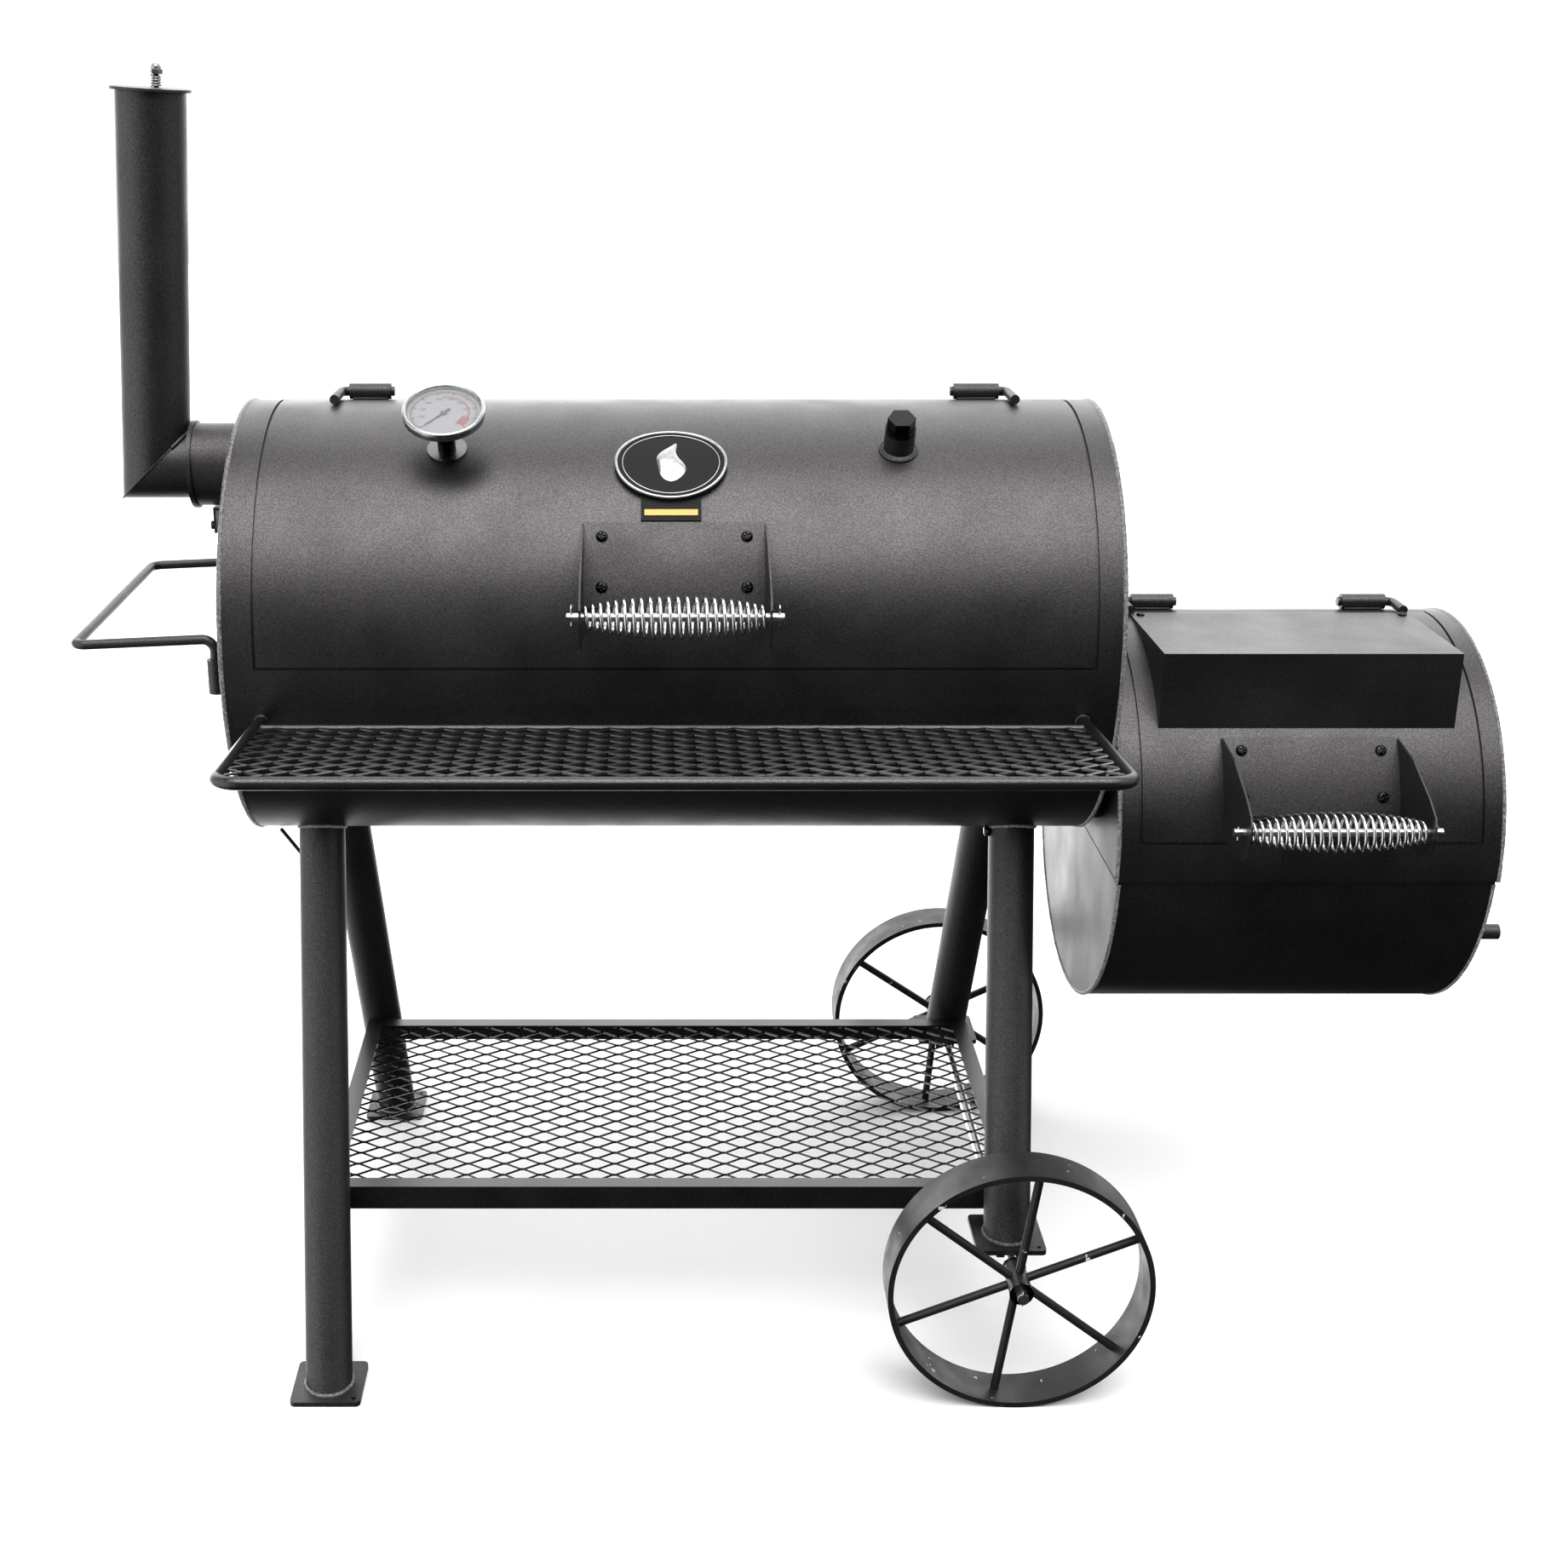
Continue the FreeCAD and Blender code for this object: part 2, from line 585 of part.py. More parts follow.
def coil_grip(x, radius, axis_z):
    """Sleeve of the barrel-shaped coil that fills the space between the ears."""
    grip = on_drum(x, radius + GRIP_STANDOFF, GRIP_DEG, axis_z)
    half = BRACKET_WIDTH / 2 - BRACKET_SHEET - REST_GAP
    ends = [V(0, GRIP_END_R, -half), V(0, GRIP_MID_R, 0), V(0, GRIP_END_R, half)]
    inner = [point - V(0, GRIP_WALL, 0) for point in reversed(ends)]
    edges = [
        Part.Arc(*ends).toShape(),
        Part.makeLine(ends[2], inner[0]),
        Part.Arc(*inner).toShape(),
        Part.makeLine(inner[2], ends[0]),
    ]
    sleeve = Part.Face(Part.Wire(edges)).revolve(V(0, 0, 0), V(0, 0, 1), 360)
    return placed(sleeve, grip, V(1, 0, 0))


# ---- badge, thermometer and port -----------------------------------------------------------------
def badge():
    """Plain oval plate on the curve of the lid, with a tab below it."""
    foot = CHAMBER_R + REST_GAP
    face = CHAMBER_R + BADGE_THICK
    sheet = drum_sheet(BADGE_X - BADGE_WIDTH, BADGE_X + BADGE_WIDTH, foot, face,
                       BRACKET_TOP_DEG, LID_REAR_DEG - BADGE_THICK, CHAMBER_AXIS_Z)
    centre = V(0, 0, 0)
    oval = Part.Face(Part.Wire(Part.Ellipse(centre, BADGE_WIDTH / 2, BADGE_HEIGHT / 2).toShape()))
    prism = oval.extrude(V(0, 0, BADGE_HEIGHT))
    base = on_drum(BADGE_X, foot - BADGE_HEIGHT / 2, BADGE_DEG, CHAMBER_AXIS_Z)
    plate = sheet.common(placed(prism, base, outward(BADGE_DEG)))
    tab = drum_sheet(BADGE_X - TAB_WIDTH / 2, BADGE_X + TAB_WIDTH / 2, foot, foot + TAB_THICK,
                     TAB_BOTTOM_DEG, TAB_TOP_DEG, CHAMBER_AXIS_Z)
    return joined(plate, [tab])


def badge_strip():
    """Blank strip on the badge's tab."""
    foot = CHAMBER_R + REST_GAP + TAB_THICK + REST_GAP
    return drum_sheet(BADGE_X - TAG_WIDTH / 2, BADGE_X + TAG_WIDTH / 2, foot, foot + TAG_THICK,
                      TAG_MID_DEG - TAG_HEIGHT_DEG / 2, TAG_MID_DEG + TAG_HEIGHT_DEG / 2,
                      CHAMBER_AXIS_Z)


def lid_seat(x):
    """Point on the main lid where a fitting stands."""
    return on_drum(x, CHAMBER_R + REST_GAP, FITTING_DEG, CHAMBER_AXIS_Z)


def gauge_case():
    """Washer, neck, cup and probe of the thermometer."""
    floor = GAUGE_CASE_STANDOFF + GAUGE_FLOOR
    top = GAUGE_CASE_STANDOFF + GAUGE_CASE_H
    profile = [
        (0, -GAUGE_PROBE_DEPTH), (GAUGE_PROBE_R, -GAUGE_PROBE_DEPTH), (GAUGE_PROBE_R, 0),
        (GAUGE_WASHER_R, 0), (GAUGE_WASHER_R, GAUGE_WASHER_H), (GAUGE_NECK_R, GAUGE_WASHER_H),
        (GAUGE_NECK_R, GAUGE_CASE_STANDOFF), (GAUGE_CASE_R, GAUGE_CASE_STANDOFF),
        (GAUGE_CASE_R, top), (GAUGE_CASE_R - GAUGE_RIM, top), (GAUGE_CASE_R - GAUGE_RIM, floor),
        (0, floor),
    ]
    return turned(profile, lid_seat(GAUGE_X), outward(FITTING_DEG))


def gauge_dial():
    """Dial with the pin that carries the needle."""
    floor = GAUGE_CASE_STANDOFF + GAUGE_FLOOR
    radius = GAUGE_CASE_R - GAUGE_RIM - REST_GAP
    profile = [(0, floor), (radius, floor), (radius, floor + DIAL_THICK),
               (DIAL_PIN_R, floor + DIAL_THICK), (DIAL_PIN_R, floor + DIAL_THICK + DIAL_PIN_H),
               (0, floor + DIAL_THICK + DIAL_PIN_H)]
    return turned(profile, lid_seat(GAUGE_X), outward(FITTING_DEG))


def gauge_needle():
    """Pointer with a tail, bored for the dial's pin."""
    base = GAUGE_CASE_STANDOFF + GAUGE_FLOOR + DIAL_THICK + SLIDE_GAP
    outline = [V(-NEEDLE_TAIL, -NEEDLE_HALF_WIDTH, base), V(NEEDLE_TIP, 0, base),
               V(-NEEDLE_TAIL, NEEDLE_HALF_WIDTH, base)]
    blade = plate_with_holes(outline, [], NEEDLE_THICK)
    axis = V(0, 0, base)
    rise = V(0, 0, NEEDLE_THICK)
    hub = rod(axis, axis + rise, NEEDLE_HUB_R)
    needle = joined(hub, [blade]).cut(rod(axis - rise, axis + rise * 2, DIAL_PIN_R + RUN_GAP))
    spin = FreeCAD.Rotation(V(0, 0, 1), NEEDLE_REST_DEG)
    along = outward(FITTING_DEG)
    across = V(1, 0, 0)
    frame = FreeCAD.Rotation(across, along.cross(across), along, "ZXY")
    return moved(needle, lid_seat(GAUGE_X), frame.multiply(spin))


def gauge_glass():
    """Window of the thermometer."""
    top = GAUGE_CASE_STANDOFF + GAUGE_CASE_H - REST_GAP
    radius = GAUGE_CASE_R - GAUGE_RIM - REST_GAP
    profile = [(0, top - GLASS_THICK), (radius, top - GLASS_THICK), (radius, top), (0, top)]
    return turned(profile, lid_seat(GAUGE_X), outward(FITTING_DEG))


def port_coupling():
    """Threaded coupling welded on the lid."""
    bore = PORT_R - PORT_WALL
    profile = [(bore, 0), (PORT_WELD_R, 0), (PORT_R, PORT_WELD_H), (PORT_R, PORT_H), (bore, PORT_H)]
    return turned(profile, lid_seat(PORT_X), outward(FITTING_DEG))


def port_plug():
    """Plug with a collar and a hexagon head."""
    shank = PORT_R - PORT_WALL - REST_GAP
    collar_top = PORT_H + PLUG_COLLAR_H
    profile = [(0, PORT_H - PLUG_SHANK_H), (shank, PORT_H - PLUG_SHANK_H), (shank, PORT_H),
               (PORT_R, PORT_H), (PORT_R, collar_top), (0, collar_top)]
    corner = PLUG_HEX_AF / math.sqrt(3)
    corners = [V(corner * math.cos(math.radians(60 * k)), corner * math.sin(math.radians(60 * k)),
                 collar_top - EMBED) for k in range(6)]
    head = plate_with_holes(corners, [], PLUG_HEX_H + EMBED)
    body = turned(profile, V(0, 0, 0), V(0, 0, 1))
    return placed(joined(body, [head]), lid_seat(PORT_X), outward(FITTING_DEG))


# ---- stack ---------------------------------------------------------------------------------------
def stack_axis():
    """Corner of the elbow and the direction of the upright pipe."""
    lean = math.radians(STACK_LEAN_DEG)
    return V(CHAMBER_LEFT - STACK_RUN, 0, STACK_Z), V(math.sin(lean), 0, math.cos(lean))


def stack_top():
    """Centre of the upright pipe's mouth."""
    corner, up = stack_axis()
    return corner + up * (STACK_TOP / up.z)


def stack_pipe():
    """Level run and leaning pipe, mitred and welded at the elbow."""
    corner, up = stack_axis()
    start = V(CHAMBER_LEFT, 0, STACK_Z)
    run_end = corner - V(2 * STACK_R, 0, 0)
    low_end = corner - up * (2 * STACK_R)
    across = (V(-1, 0, 0) + up).normalize()
    beyond = Part.makeCylinder(STACK_TOP * 2, STACK_TOP * 2, corner, across)
    bore = STACK_R - STACK_WALL
    run = tube(start, run_end, STACK_R, bore).cut(beyond)
    pipe = tube(low_end, stack_top(), STACK_R, bore).common(beyond)
    return joined(run, [pipe])


def stack_collar():
    """Sleeve welded on the chamber's end, with a lip at its mouth."""
    start = V(CHAMBER_LEFT, 0, STACK_Z)
    mouth = start - V(COLLAR_LENGTH, 0, 0)
    bore = STACK_R + REST_GAP
    lip = tube(mouth, mouth + V(COLLAR_LIP_LENGTH, 0, 0), COLLAR_R + COLLAR_LIP, bore)
    return joined(tube(start, mouth, COLLAR_R, bore), [lip])


def stack_bracket():
    """Bent strap from the chamber's end to a bolt under the collar."""
    outer_x = CHAMBER_LEFT - STRAP_REACH
    top = STACK_Z - COLLAR_R - STRAP_GAP
    foot = top - STRAP_LEG
    half = STRAP_WIDTH / 2
    level = box(outer_x, CHAMBER_LEFT, -half, half, top - STRAP_THICK, top)
    leg = box(outer_x, outer_x + STRAP_THICK, -half, half, foot, top)
    bolt_at = V(outer_x, 0, foot + STRAP_BOLT_R * 1.5)
    head = rod(bolt_at - V(STRAP_BOLT_HEAD, 0, 0), bolt_at, STRAP_BOLT_R)
    return joined(level, [leg, head])


def cap_frame():
    """Cap pivot on the pipe's mouth and the direction of its bolt."""
    return stack_top() + V(0, CAP_PIVOT_OFFSET, 0), stack_axis()[1]


def stack_cap():
    """Disc that swings on its bolt."""
    top = stack_top()
    up = stack_axis()[1]
    base = top + up * SLIDE_GAP
    disc = rod(base, base + up * CAP_THICK, STACK_R + CAP_LAP)
    pivot = cap_frame()[0]
    return disc.cut(rod(pivot - up, pivot + up * (CAP_THICK * 2), CAP_BOLT_R + RUN_GAP))


def cap_bolt():
    """Tab welded in the pipe with the cap's bolt, its spring and its domed nut."""
    pivot, up = cap_frame()
    reach = chord(STACK_R - STACK_WALL - REST_GAP, CAP_TAB_HALF) - CAP_PIVOT_OFFSET
    tab = box(-CAP_TAB_HALF, CAP_TAB_HALF, -CAP_TAB_HALF, reach, -2 * CAP_TAB_THICK, -CAP_TAB_THICK)
    spring_base = SLIDE_GAP * 2 + CAP_THICK
    nut_base = spring_base + CAP_SPRING_H + REST_GAP
    stud_top = nut_base + CAP_NUT_H / 2
    stud = rod(V(0, 0, -CAP_TAB_THICK - EMBED), V(0, 0, stud_top), CAP_BOLT_R)
    inner = CAP_BOLT_R + REST_GAP
    spring = tube(V(0, 0, spring_base), V(0, 0, spring_base + CAP_SPRING_H), CAP_SPRING_R, inner)
    nut = turned([(0, stud_top), (CAP_BOLT_R, stud_top), (CAP_BOLT_R, nut_base),
                  (CAP_NUT_R, nut_base), (CAP_NUT_R, nut_base + CAP_NUT_H * 0.6),
                  (CAP_NUT_R * 0.7, nut_base + CAP_NUT_H * 0.95), (0, nut_base + CAP_NUT_H * 1.1)],
                 V(0, 0, 0), V(0, 0, 1))
    bolt = joined(joined(tab, [stud]), [nut])
    return group([placed(piece, pivot, up) for piece in (bolt, spring)])


# ---- side handle ---------------------------------------------------------------------------------
def side_socket_x():
    """Centre of the side handle's sockets."""
    return CHAMBER_LEFT - SIDE_SOCKET_R - REST_GAP


def side_handle():
    """Rod bent to a level loop whose ends stand in two sockets."""
    x = side_socket_x()
    foot = CHAMBER_AXIS_Z + SIDE_SOCKET_BOTTOM
    top = CHAMBER_AXIS_Z + SIDE_ROD_Z
    out_x = CHAMBER_LEFT - SIDE_REACH
    path = [V(x, SIDE_FRONT_Y, foot), V(x, SIDE_FRONT_Y, top),
            V(out_x, SIDE_FRONT_Y, top - SIDE_DROOP), V(out_x, SIDE_REAR_Y, top - SIDE_DROOP),
            V(x, SIDE_REAR_Y, top), V(x, SIDE_REAR_Y, foot)]
    return bent_rod(path, SIDE_BEND, SIDE_ROD_R)


def side_handle_sockets():
    """Upright sockets welded on the chamber's end."""
    x = side_socket_x()
    foot = CHAMBER_AXIS_Z + SIDE_SOCKET_BOTTOM
    top = CHAMBER_AXIS_Z + SIDE_SOCKET_TOP - SIDE_BEND
    return group([tube(V(x, y, foot), V(x, y, top), SIDE_SOCKET_R, SIDE_ROD_R + REST_GAP)
                  for y in (SIDE_FRONT_Y, SIDE_REAR_Y)])


# ---- legs, feet, axle and wheels -----------------------------------------------------------------
def leg_line(left, side, z):
    """Point on a leg's centre line at a height; side is -1 in front and 1 behind."""
    top_z = CHAMBER_AXIS_Z - chord(CHAMBER_R, LEG_TOP_HALF_Y)
    fall = top_z - z
    top_x = CHAMBER_LEFT + LEG_INSETS[0] if left else CHAMBER_RIGHT - LEG_INSETS[1]
    inward = 1 if left else -1
    return V(top_x + inward * LEG_SPLAY_X * fall, side * (LEG_TOP_HALF_Y + LEG_SPLAY_Y * fall), z)


def leg_foot_z(left):
    """Height that a leg stands on: its foot plate or its axle plate."""
    return PLATE_THICK if left else AXLE_PLATE_Z + PLATE_THICK


def leg(left, side):
    """Round tube cut to the barrel above and to its plate below."""
    foot_z = leg_foot_z(left)
    low = leg_line(left, side, foot_z - LEG_R)
    high = leg_line(left, side, CHAMBER_AXIS_Z - chord(CHAMBER_R, LEG_TOP_HALF_Y) + 2 * LEG_R)
    pipe = tube(low, high, LEG_R, LEG_R - LEG_WALL)
    barrel = drum(CHAMBER_LEFT, CHAMBER_RIGHT, CHAMBER_R + REST_GAP, CHAMBER_AXIS_Z)
    spot = leg_line(left, side, foot_z)
    below = box(spot.x - 4 * LEG_R, spot.x + 4 * LEG_R, spot.y - 4 * LEG_R, spot.y + 4 * LEG_R,
                foot_z - 4 * LEG_R, foot_z)
    return pipe.cut([barrel, below])


def foot_plate(left, side):
    """Square plate under a leg, with rounded corners and one hole."""
    spot = leg_line(left, side, leg_foot_z(left))
    half = PLATE_SIDE / 2
    blank = box(spot.x - half, spot.x + half, spot.y - half, spot.y + half,
                spot.z - PLATE_THICK, spot.z)
    corners = [edge for edge in blank.Edges if abs(edge.tangentAt(edge.FirstParameter).z) > 0.9]
    plate = blank.makeFillet(PLATE_CORNER, corners)
    hole = V(spot.x + half - PLATE_HOLE_EDGE, spot.y + side * (half - PLATE_HOLE_EDGE),
             spot.z - 2 * PLATE_THICK)
    return plate.cut(rod(hole, hole + V(0, 0, 3 * PLATE_THICK), PLATE_HOLE_R))


def axle_x():
    """Centre of the axle, under the middle of its plates."""
    return leg_line(False, 1, leg_foot_z(False)).x


def hub_mid_y():
    """Distance of each hub's middle from the middle of the axle."""
    plate_edge = leg_line(False, 1, leg_foot_z(False)).y + PLATE_SIDE / 2
    return plate_edge + WHEEL_GAP + WASHER_THICK + SLIDE_GAP + WHEEL_HUB_LENGTH / 2


def axle_end_y():
    """Half length of the axle."""
    return hub_mid_y() + WHEEL_HUB_LENGTH / 2 + AXLE_END


def axle():
    """Bar through both wheels, drilled at each end for a cotter."""
    end = axle_end_y()
    bar = rod(V(axle_x(), -end, WHEEL_R), V(axle_x(), end, WHEEL_R), AXLE_R)
    for side in (-1, 1):
        middle = V(axle_x(), side * (end - COTTER_INSET), WHEEL_R)
        drill = V(0, 0, 2 * AXLE_R)
        bar = bar.cut(rod(middle - drill, middle + drill, COTTER_WIRE_R + RUN_GAP))
    return bar


def axle_cotters():
    """Cotters outside the wheels."""
    spots = [V(axle_x(), side * (axle_end_y() - COTTER_INSET), WHEEL_R) for side in (-1, 1)]
    return group([cotter(spot, AXLE_R) for spot in spots])


def axle_lug(side):
    """Saddle welded under an axle plate, open upwards round the axle."""
    spot = leg_line(False, side, leg_foot_z(False))
    y = spot.y - LUG_HALF_Y
    bore = AXLE_R + REST_GAP
    low = WHEEL_R - LUG_BELOW
    rim = [V(x, y, z) for x, z in (
        (spot.x + bore, WHEEL_R), (spot.x + bore, AXLE_PLATE_Z), (spot.x + LUG_HALF_X, AXLE_PLATE_Z),
        (spot.x + LUG_HALF_X, low), (spot.x - LUG_HALF_X, low), (spot.x - LUG_HALF_X, AXLE_PLATE_Z),
        (spot.x - bore, AXLE_PLATE_Z), (spot.x - bore, WHEEL_R))]
    edges = [Part.makeLine(first, last) for first, last in zip(rim, rim[1:])]
    edges.append(Part.Arc(rim[-1], V(spot.x, y, WHEEL_R - bore), rim[0]).toShape())
    return Part.Face(Part.Wire(edges)).extrude(V(0, 2 * LUG_HALF_Y, 0))


def axle_washers():
    """Washers on both sides of each hub."""
    washers = []
    for side in (-1, 1):
        for face in (-1, 1):
            inner = hub_mid_y() + face * (WHEEL_HUB_LENGTH / 2 + SLIDE_GAP)
            outer = inner + face * WASHER_THICK
            washers.append(tube(V(axle_x(), side * inner, WHEEL_R), V(axle_x(), side * outer, WHEEL_R),
                                WASHER_R, AXLE_R + REST_GAP))
    return group(washers)


def wheel(side, phase):
    """Rolled rim, round spokes and hub, welded together."""
    y = side * hub_mid_y()
    x = axle_x()
    half = WHEEL_WIDTH / 2
    hub_half = WHEEL_HUB_LENGTH / 2
    rim = tube(V(x, y - half, WHEEL_R), V(x, y + half, WHEEL_R), WHEEL_R, WHEEL_R - WHEEL_RIM)
    hub = rod(V(x, y - hub_half, WHEEL_R), V(x, y + hub_half, WHEEL_R), WHEEL_HUB_R)
    centre = V(x, y, WHEEL_R)
    spokes = []
    for index in range(SPOKE_COUNT):
        angle = math.radians(phase + index * 360 / SPOKE_COUNT)
        along = V(math.sin(angle), 0, math.cos(angle))
        spokes.append(rod(centre, centre + along * (WHEEL_R - WHEEL_RIM + EMBED), SPOKE_R))
    bore = rod(V(x, y - half, WHEEL_R), V(x, y + half, WHEEL_R), AXLE_R + RUN_GAP)
    return joined(rim, [hub] + spokes).cut(bore)


# ---- shelves and bucket hook ---------------------------------------------------------------------
def shelf_half_y():
    """Half depth of the lower shelf, which fits between the legs at its top."""
    slope = math.sqrt(1 + LEG_SPLAY_Y ** 2)
    return -leg_line(True, -1, LOWER_SHELF_Z).y - LEG_R * slope - REST_GAP


def shelf_half_x():
    """Half length of the lower shelf, which ends past the left legs at its top."""
    return LOWER_SHELF_BEYOND - leg_line(True, -1, LOWER_SHELF_Z).x


def lower_shelf_frame():
    """Ring of angle iron, flange on top and web outside."""
    half_x = shelf_half_x()
    half_y = shelf_half_y()
    top = LOWER_SHELF_Z
    low = top - ANGLE_DEPTH
    blank = box(-half_x, half_x, -half_y, half_y, low, top)
    below = box(ANGLE_THICK - half_x, half_x - ANGLE_THICK, ANGLE_THICK - half_y,
                half_y - ANGLE_THICK, low - 1, top - ANGLE_THICK)
    window = box(ANGLE_FLANGE - half_x, half_x - ANGLE_FLANGE, ANGLE_FLANGE - half_y,
                 half_y - ANGLE_FLANGE, low - 1, top + 1)
    return blank.cut([below, window])


def mesh_sheet(outline, half_x, y0, y1):
    """Expanded sheet at z = 0: whole diamonds in staggered rows inside an outline."""
    strand_x = MESH_STRAND / math.sin(math.atan2(MESH_PITCH_Y, MESH_PITCH_X)) / 2
    strand_y = MESH_STRAND / math.cos(math.atan2(MESH_PITCH_Y, MESH_PITCH_X)) / 2
    reach_x = MESH_PITCH_X / 2 - strand_x
    reach_y = MESH_PITCH_Y / 2 - strand_y
    rows = int((y1 - y0 - 2 * MESH_RIM - MESH_PITCH_Y) // (MESH_PITCH_Y / 2)) + 1
    columns = int((2 * half_x - 2 * MESH_RIM) // MESH_PITCH_X)
    first_y = (y0 + y1) / 2 - (rows - 1) * MESH_PITCH_Y / 4
    diamonds = []
    for row in range(rows):
        shift = (row % 2) / 2
        cells = columns - row % 2
        for cell in range(cells):
            x = (cell + shift + 0.5 - columns / 2) * MESH_PITCH_X
            y = first_y + row * MESH_PITCH_Y / 2
            diamonds.append([V(x - reach_x, y, 0), V(x, y - reach_y, 0), V(x + reach_x, y, 0),
                             V(x, y + reach_y, 0)])
    return plate_with_holes(outline, diamonds, MESH_THICK)


def lower_shelf_mesh():
    """Expanded sheet under the flanges of the lower shelf."""
    half_x = shelf_half_x() - ANGLE_THICK - REST_GAP
    half_y = shelf_half_y() - ANGLE_THICK - REST_GAP
    outline = loop(-half_x, half_x, -half_y, half_y, 0)
    sheet = mesh_sheet(outline, half_x, -half_y, half_y)
    return moved(sheet, V(0, 0, LOWER_SHELF_Z - ANGLE_THICK - MESH_THICK), FreeCAD.Rotation())


def front_shelf_z(y):
    """Height of the front shelf's centre plane."""
    return CHAMBER_AXIS_Z - FRONT_DROP - FRONT_SLOPE * (y - FRONT_Y)


def front_shelf_frame():
    """U of round rod that runs into the barrel, with a cross rod near it."""
    back_y = -chord(CHAMBER_R, FRONT_DROP + FRONT_ROD_R) + 4 * FRONT_ROD_R
    path = [V(x, y, front_shelf_z(y)) for x, y in (
        (-FRONT_HALF_X, back_y), (-FRONT_HALF_X, FRONT_Y), (FRONT_HALF_X, FRONT_Y),
        (FRONT_HALF_X, back_y))]
    cross_z = front_shelf_z(FRONT_CROSS_Y)
    cross = rod(V(-FRONT_HALF_X, FRONT_CROSS_Y, cross_z), V(FRONT_HALF_X, FRONT_CROSS_Y, cross_z),
                FRONT_CROSS_R)
    barrel = drum(2 * CHAMBER_LEFT, 2 * CHAMBER_RIGHT, CHAMBER_R + REST_GAP, CHAMBER_AXIS_Z)
    return joined(bent_rod(path, FRONT_BEND, FRONT_ROD_R), [cross]).cut(barrel)


def front_shelf_mesh():
    """Expanded sheet inside the front shelf's rods."""
    fall = math.atan(FRONT_SLOPE)
    depth = (FRONT_CROSS_Y - FRONT_Y) / math.cos(fall)
    edge = FRONT_ROD_R + REST_GAP
    half_x = FRONT_HALF_X - edge
    back = depth - FRONT_CROSS_R - REST_GAP
    outline = [V(-half_x, FRONT_BEND, 0), V(FRONT_BEND - FRONT_HALF_X, edge, 0),
               V(FRONT_HALF_X - FRONT_BEND, edge, 0), V(half_x, FRONT_BEND, 0),
               V(half_x, back, 0), V(-half_x, back, 0)]
    sheet = mesh_sheet(outline, half_x, edge, back)
    base = V(0, FRONT_Y, front_shelf_z(FRONT_Y) - MESH_THICK / 2)
    return moved(sheet, base, FreeCAD.Rotation(V(1, 0, 0), -math.degrees(fall)))


def bucket_hook():
    """Thin rod on the front left leg, bent outwards under the barrel."""
    tip = V(CHAMBER_LEFT + HOOK_TIP_INSET, HOOK_TIP_Y,
            CHAMBER_AXIS_Z - chord(CHAMBER_R, HOOK_TIP_Y) - HOOK_TIP_GAP)
    line = [leg_line(True, -1, CHAMBER_AXIS_Z - CHAMBER_R - drop) for drop in HOOK_WELD_DROPS]
    along = (line[1] - line[0]).normalize()
    rear = V(1, 0, 0).cross(along).normalize()
    left = rear.cross(along)
    turn = math.radians(HOOK_WELD_DEG)
    reach = (left * math.cos(turn) + rear * math.sin(turn)) * (LEG_R + HOOK_R + REST_GAP)
    return bent_rod([tip] + [point + reach for point in line], HOOK_BEND, HOOK_R)


# ---- firebox -------------------------------------------------------------------------------------
def fire_frame(x0, x1, wall):
    """Block of the neck where the two drums face each other, or of the opening inside its walls."""
    half = NECK_WIDTH / 2
    low = CHAMBER_AXIS_Z - chord(CHAMBER_R - NECK_EDGE, half)
    high = FIREBOX_AXIS_Z + chord(FIREBOX_R - NECK_EDGE, half)
    return box(x0, x1, wall - half, half - wall, low + wall, high - wall)


def fire_neck():
    """Square frame between the drums, round the fire opening."""
    inner = fire_frame(CHAMBER_RIGHT - 1, FIREBOX_LEFT + 1, NECK_WALL)
    return fire_frame(CHAMBER_RIGHT, FIREBOX_LEFT, 0).cut(inner)


def firebox_ends():
    """Four part discs: the upper pair at the shell's ends, the lower pair nested inside."""
    split = FIREBOX_AXIS_Z - FIREBOX_SPLIT_DROP
    lower_top = split + FIREBOX_OVERLAP
    fire = fire_frame(FIREBOX_LEFT - 1, LOWER_LEFT + SHEET + 1, NECK_WALL)
    half = DOOR_HALF_Y - DOOR_LAP
    low = DOOR_MID_Z - DOOR_HEIGHT / 2 + DOOR_LAP
    doorway = box(FIREBOX_RIGHT - 4 * SHEET, FIREBOX_RIGHT + 1, -half, half, low,
                  DOOR_MID_Z + DOOR_HEIGHT / 2 - DOOR_LAP)
    return group([
        disc_part(FIREBOX_LEFT, FIREBOX_LEFT + SHEET, FIREBOX_R, FIREBOX_AXIS_Z, split, True).cut(fire),
        disc_part(FIREBOX_RIGHT - SHEET, FIREBOX_RIGHT, FIREBOX_R, FIREBOX_AXIS_Z, split, True),
        disc_part(LOWER_LEFT, LOWER_LEFT + SHEET, LOWER_R, FIREBOX_AXIS_Z, lower_top, False),
        disc_part(LOWER_RIGHT - SHEET, LOWER_RIGHT, LOWER_R, FIREBOX_AXIS_Z, lower_top,
                  False).cut(doorway),
    ])


def firebox_upper_shell():
    """Upper half of the firebox, open for its lid."""
    split_deg = math.degrees(math.asin(FIREBOX_SPLIT_DROP / FIREBOX_R))
    return lidded_shell(FIREBOX_LEFT + SHEET, FIREBOX_RIGHT - SHEET, FIREBOX_R, FIREBOX_AXIS_Z,
                        FIREBOX_LID_X, FIREBOX_LID_BOTTOM_DEG, -split_deg, 180 + split_deg)


def firebox_lower_shell():
    """Lower half, nested inside the upper."""
    rise = math.degrees(math.asin((FIREBOX_OVERLAP - FIREBOX_SPLIT_DROP) / LOWER_R))
    return drum_sheet(LOWER_LEFT + SHEET, LOWER_RIGHT - SHEET, LOWER_R - SHEET, LOWER_R,
                      180 - rise, 360 + rise, FIREBOX_AXIS_Z)


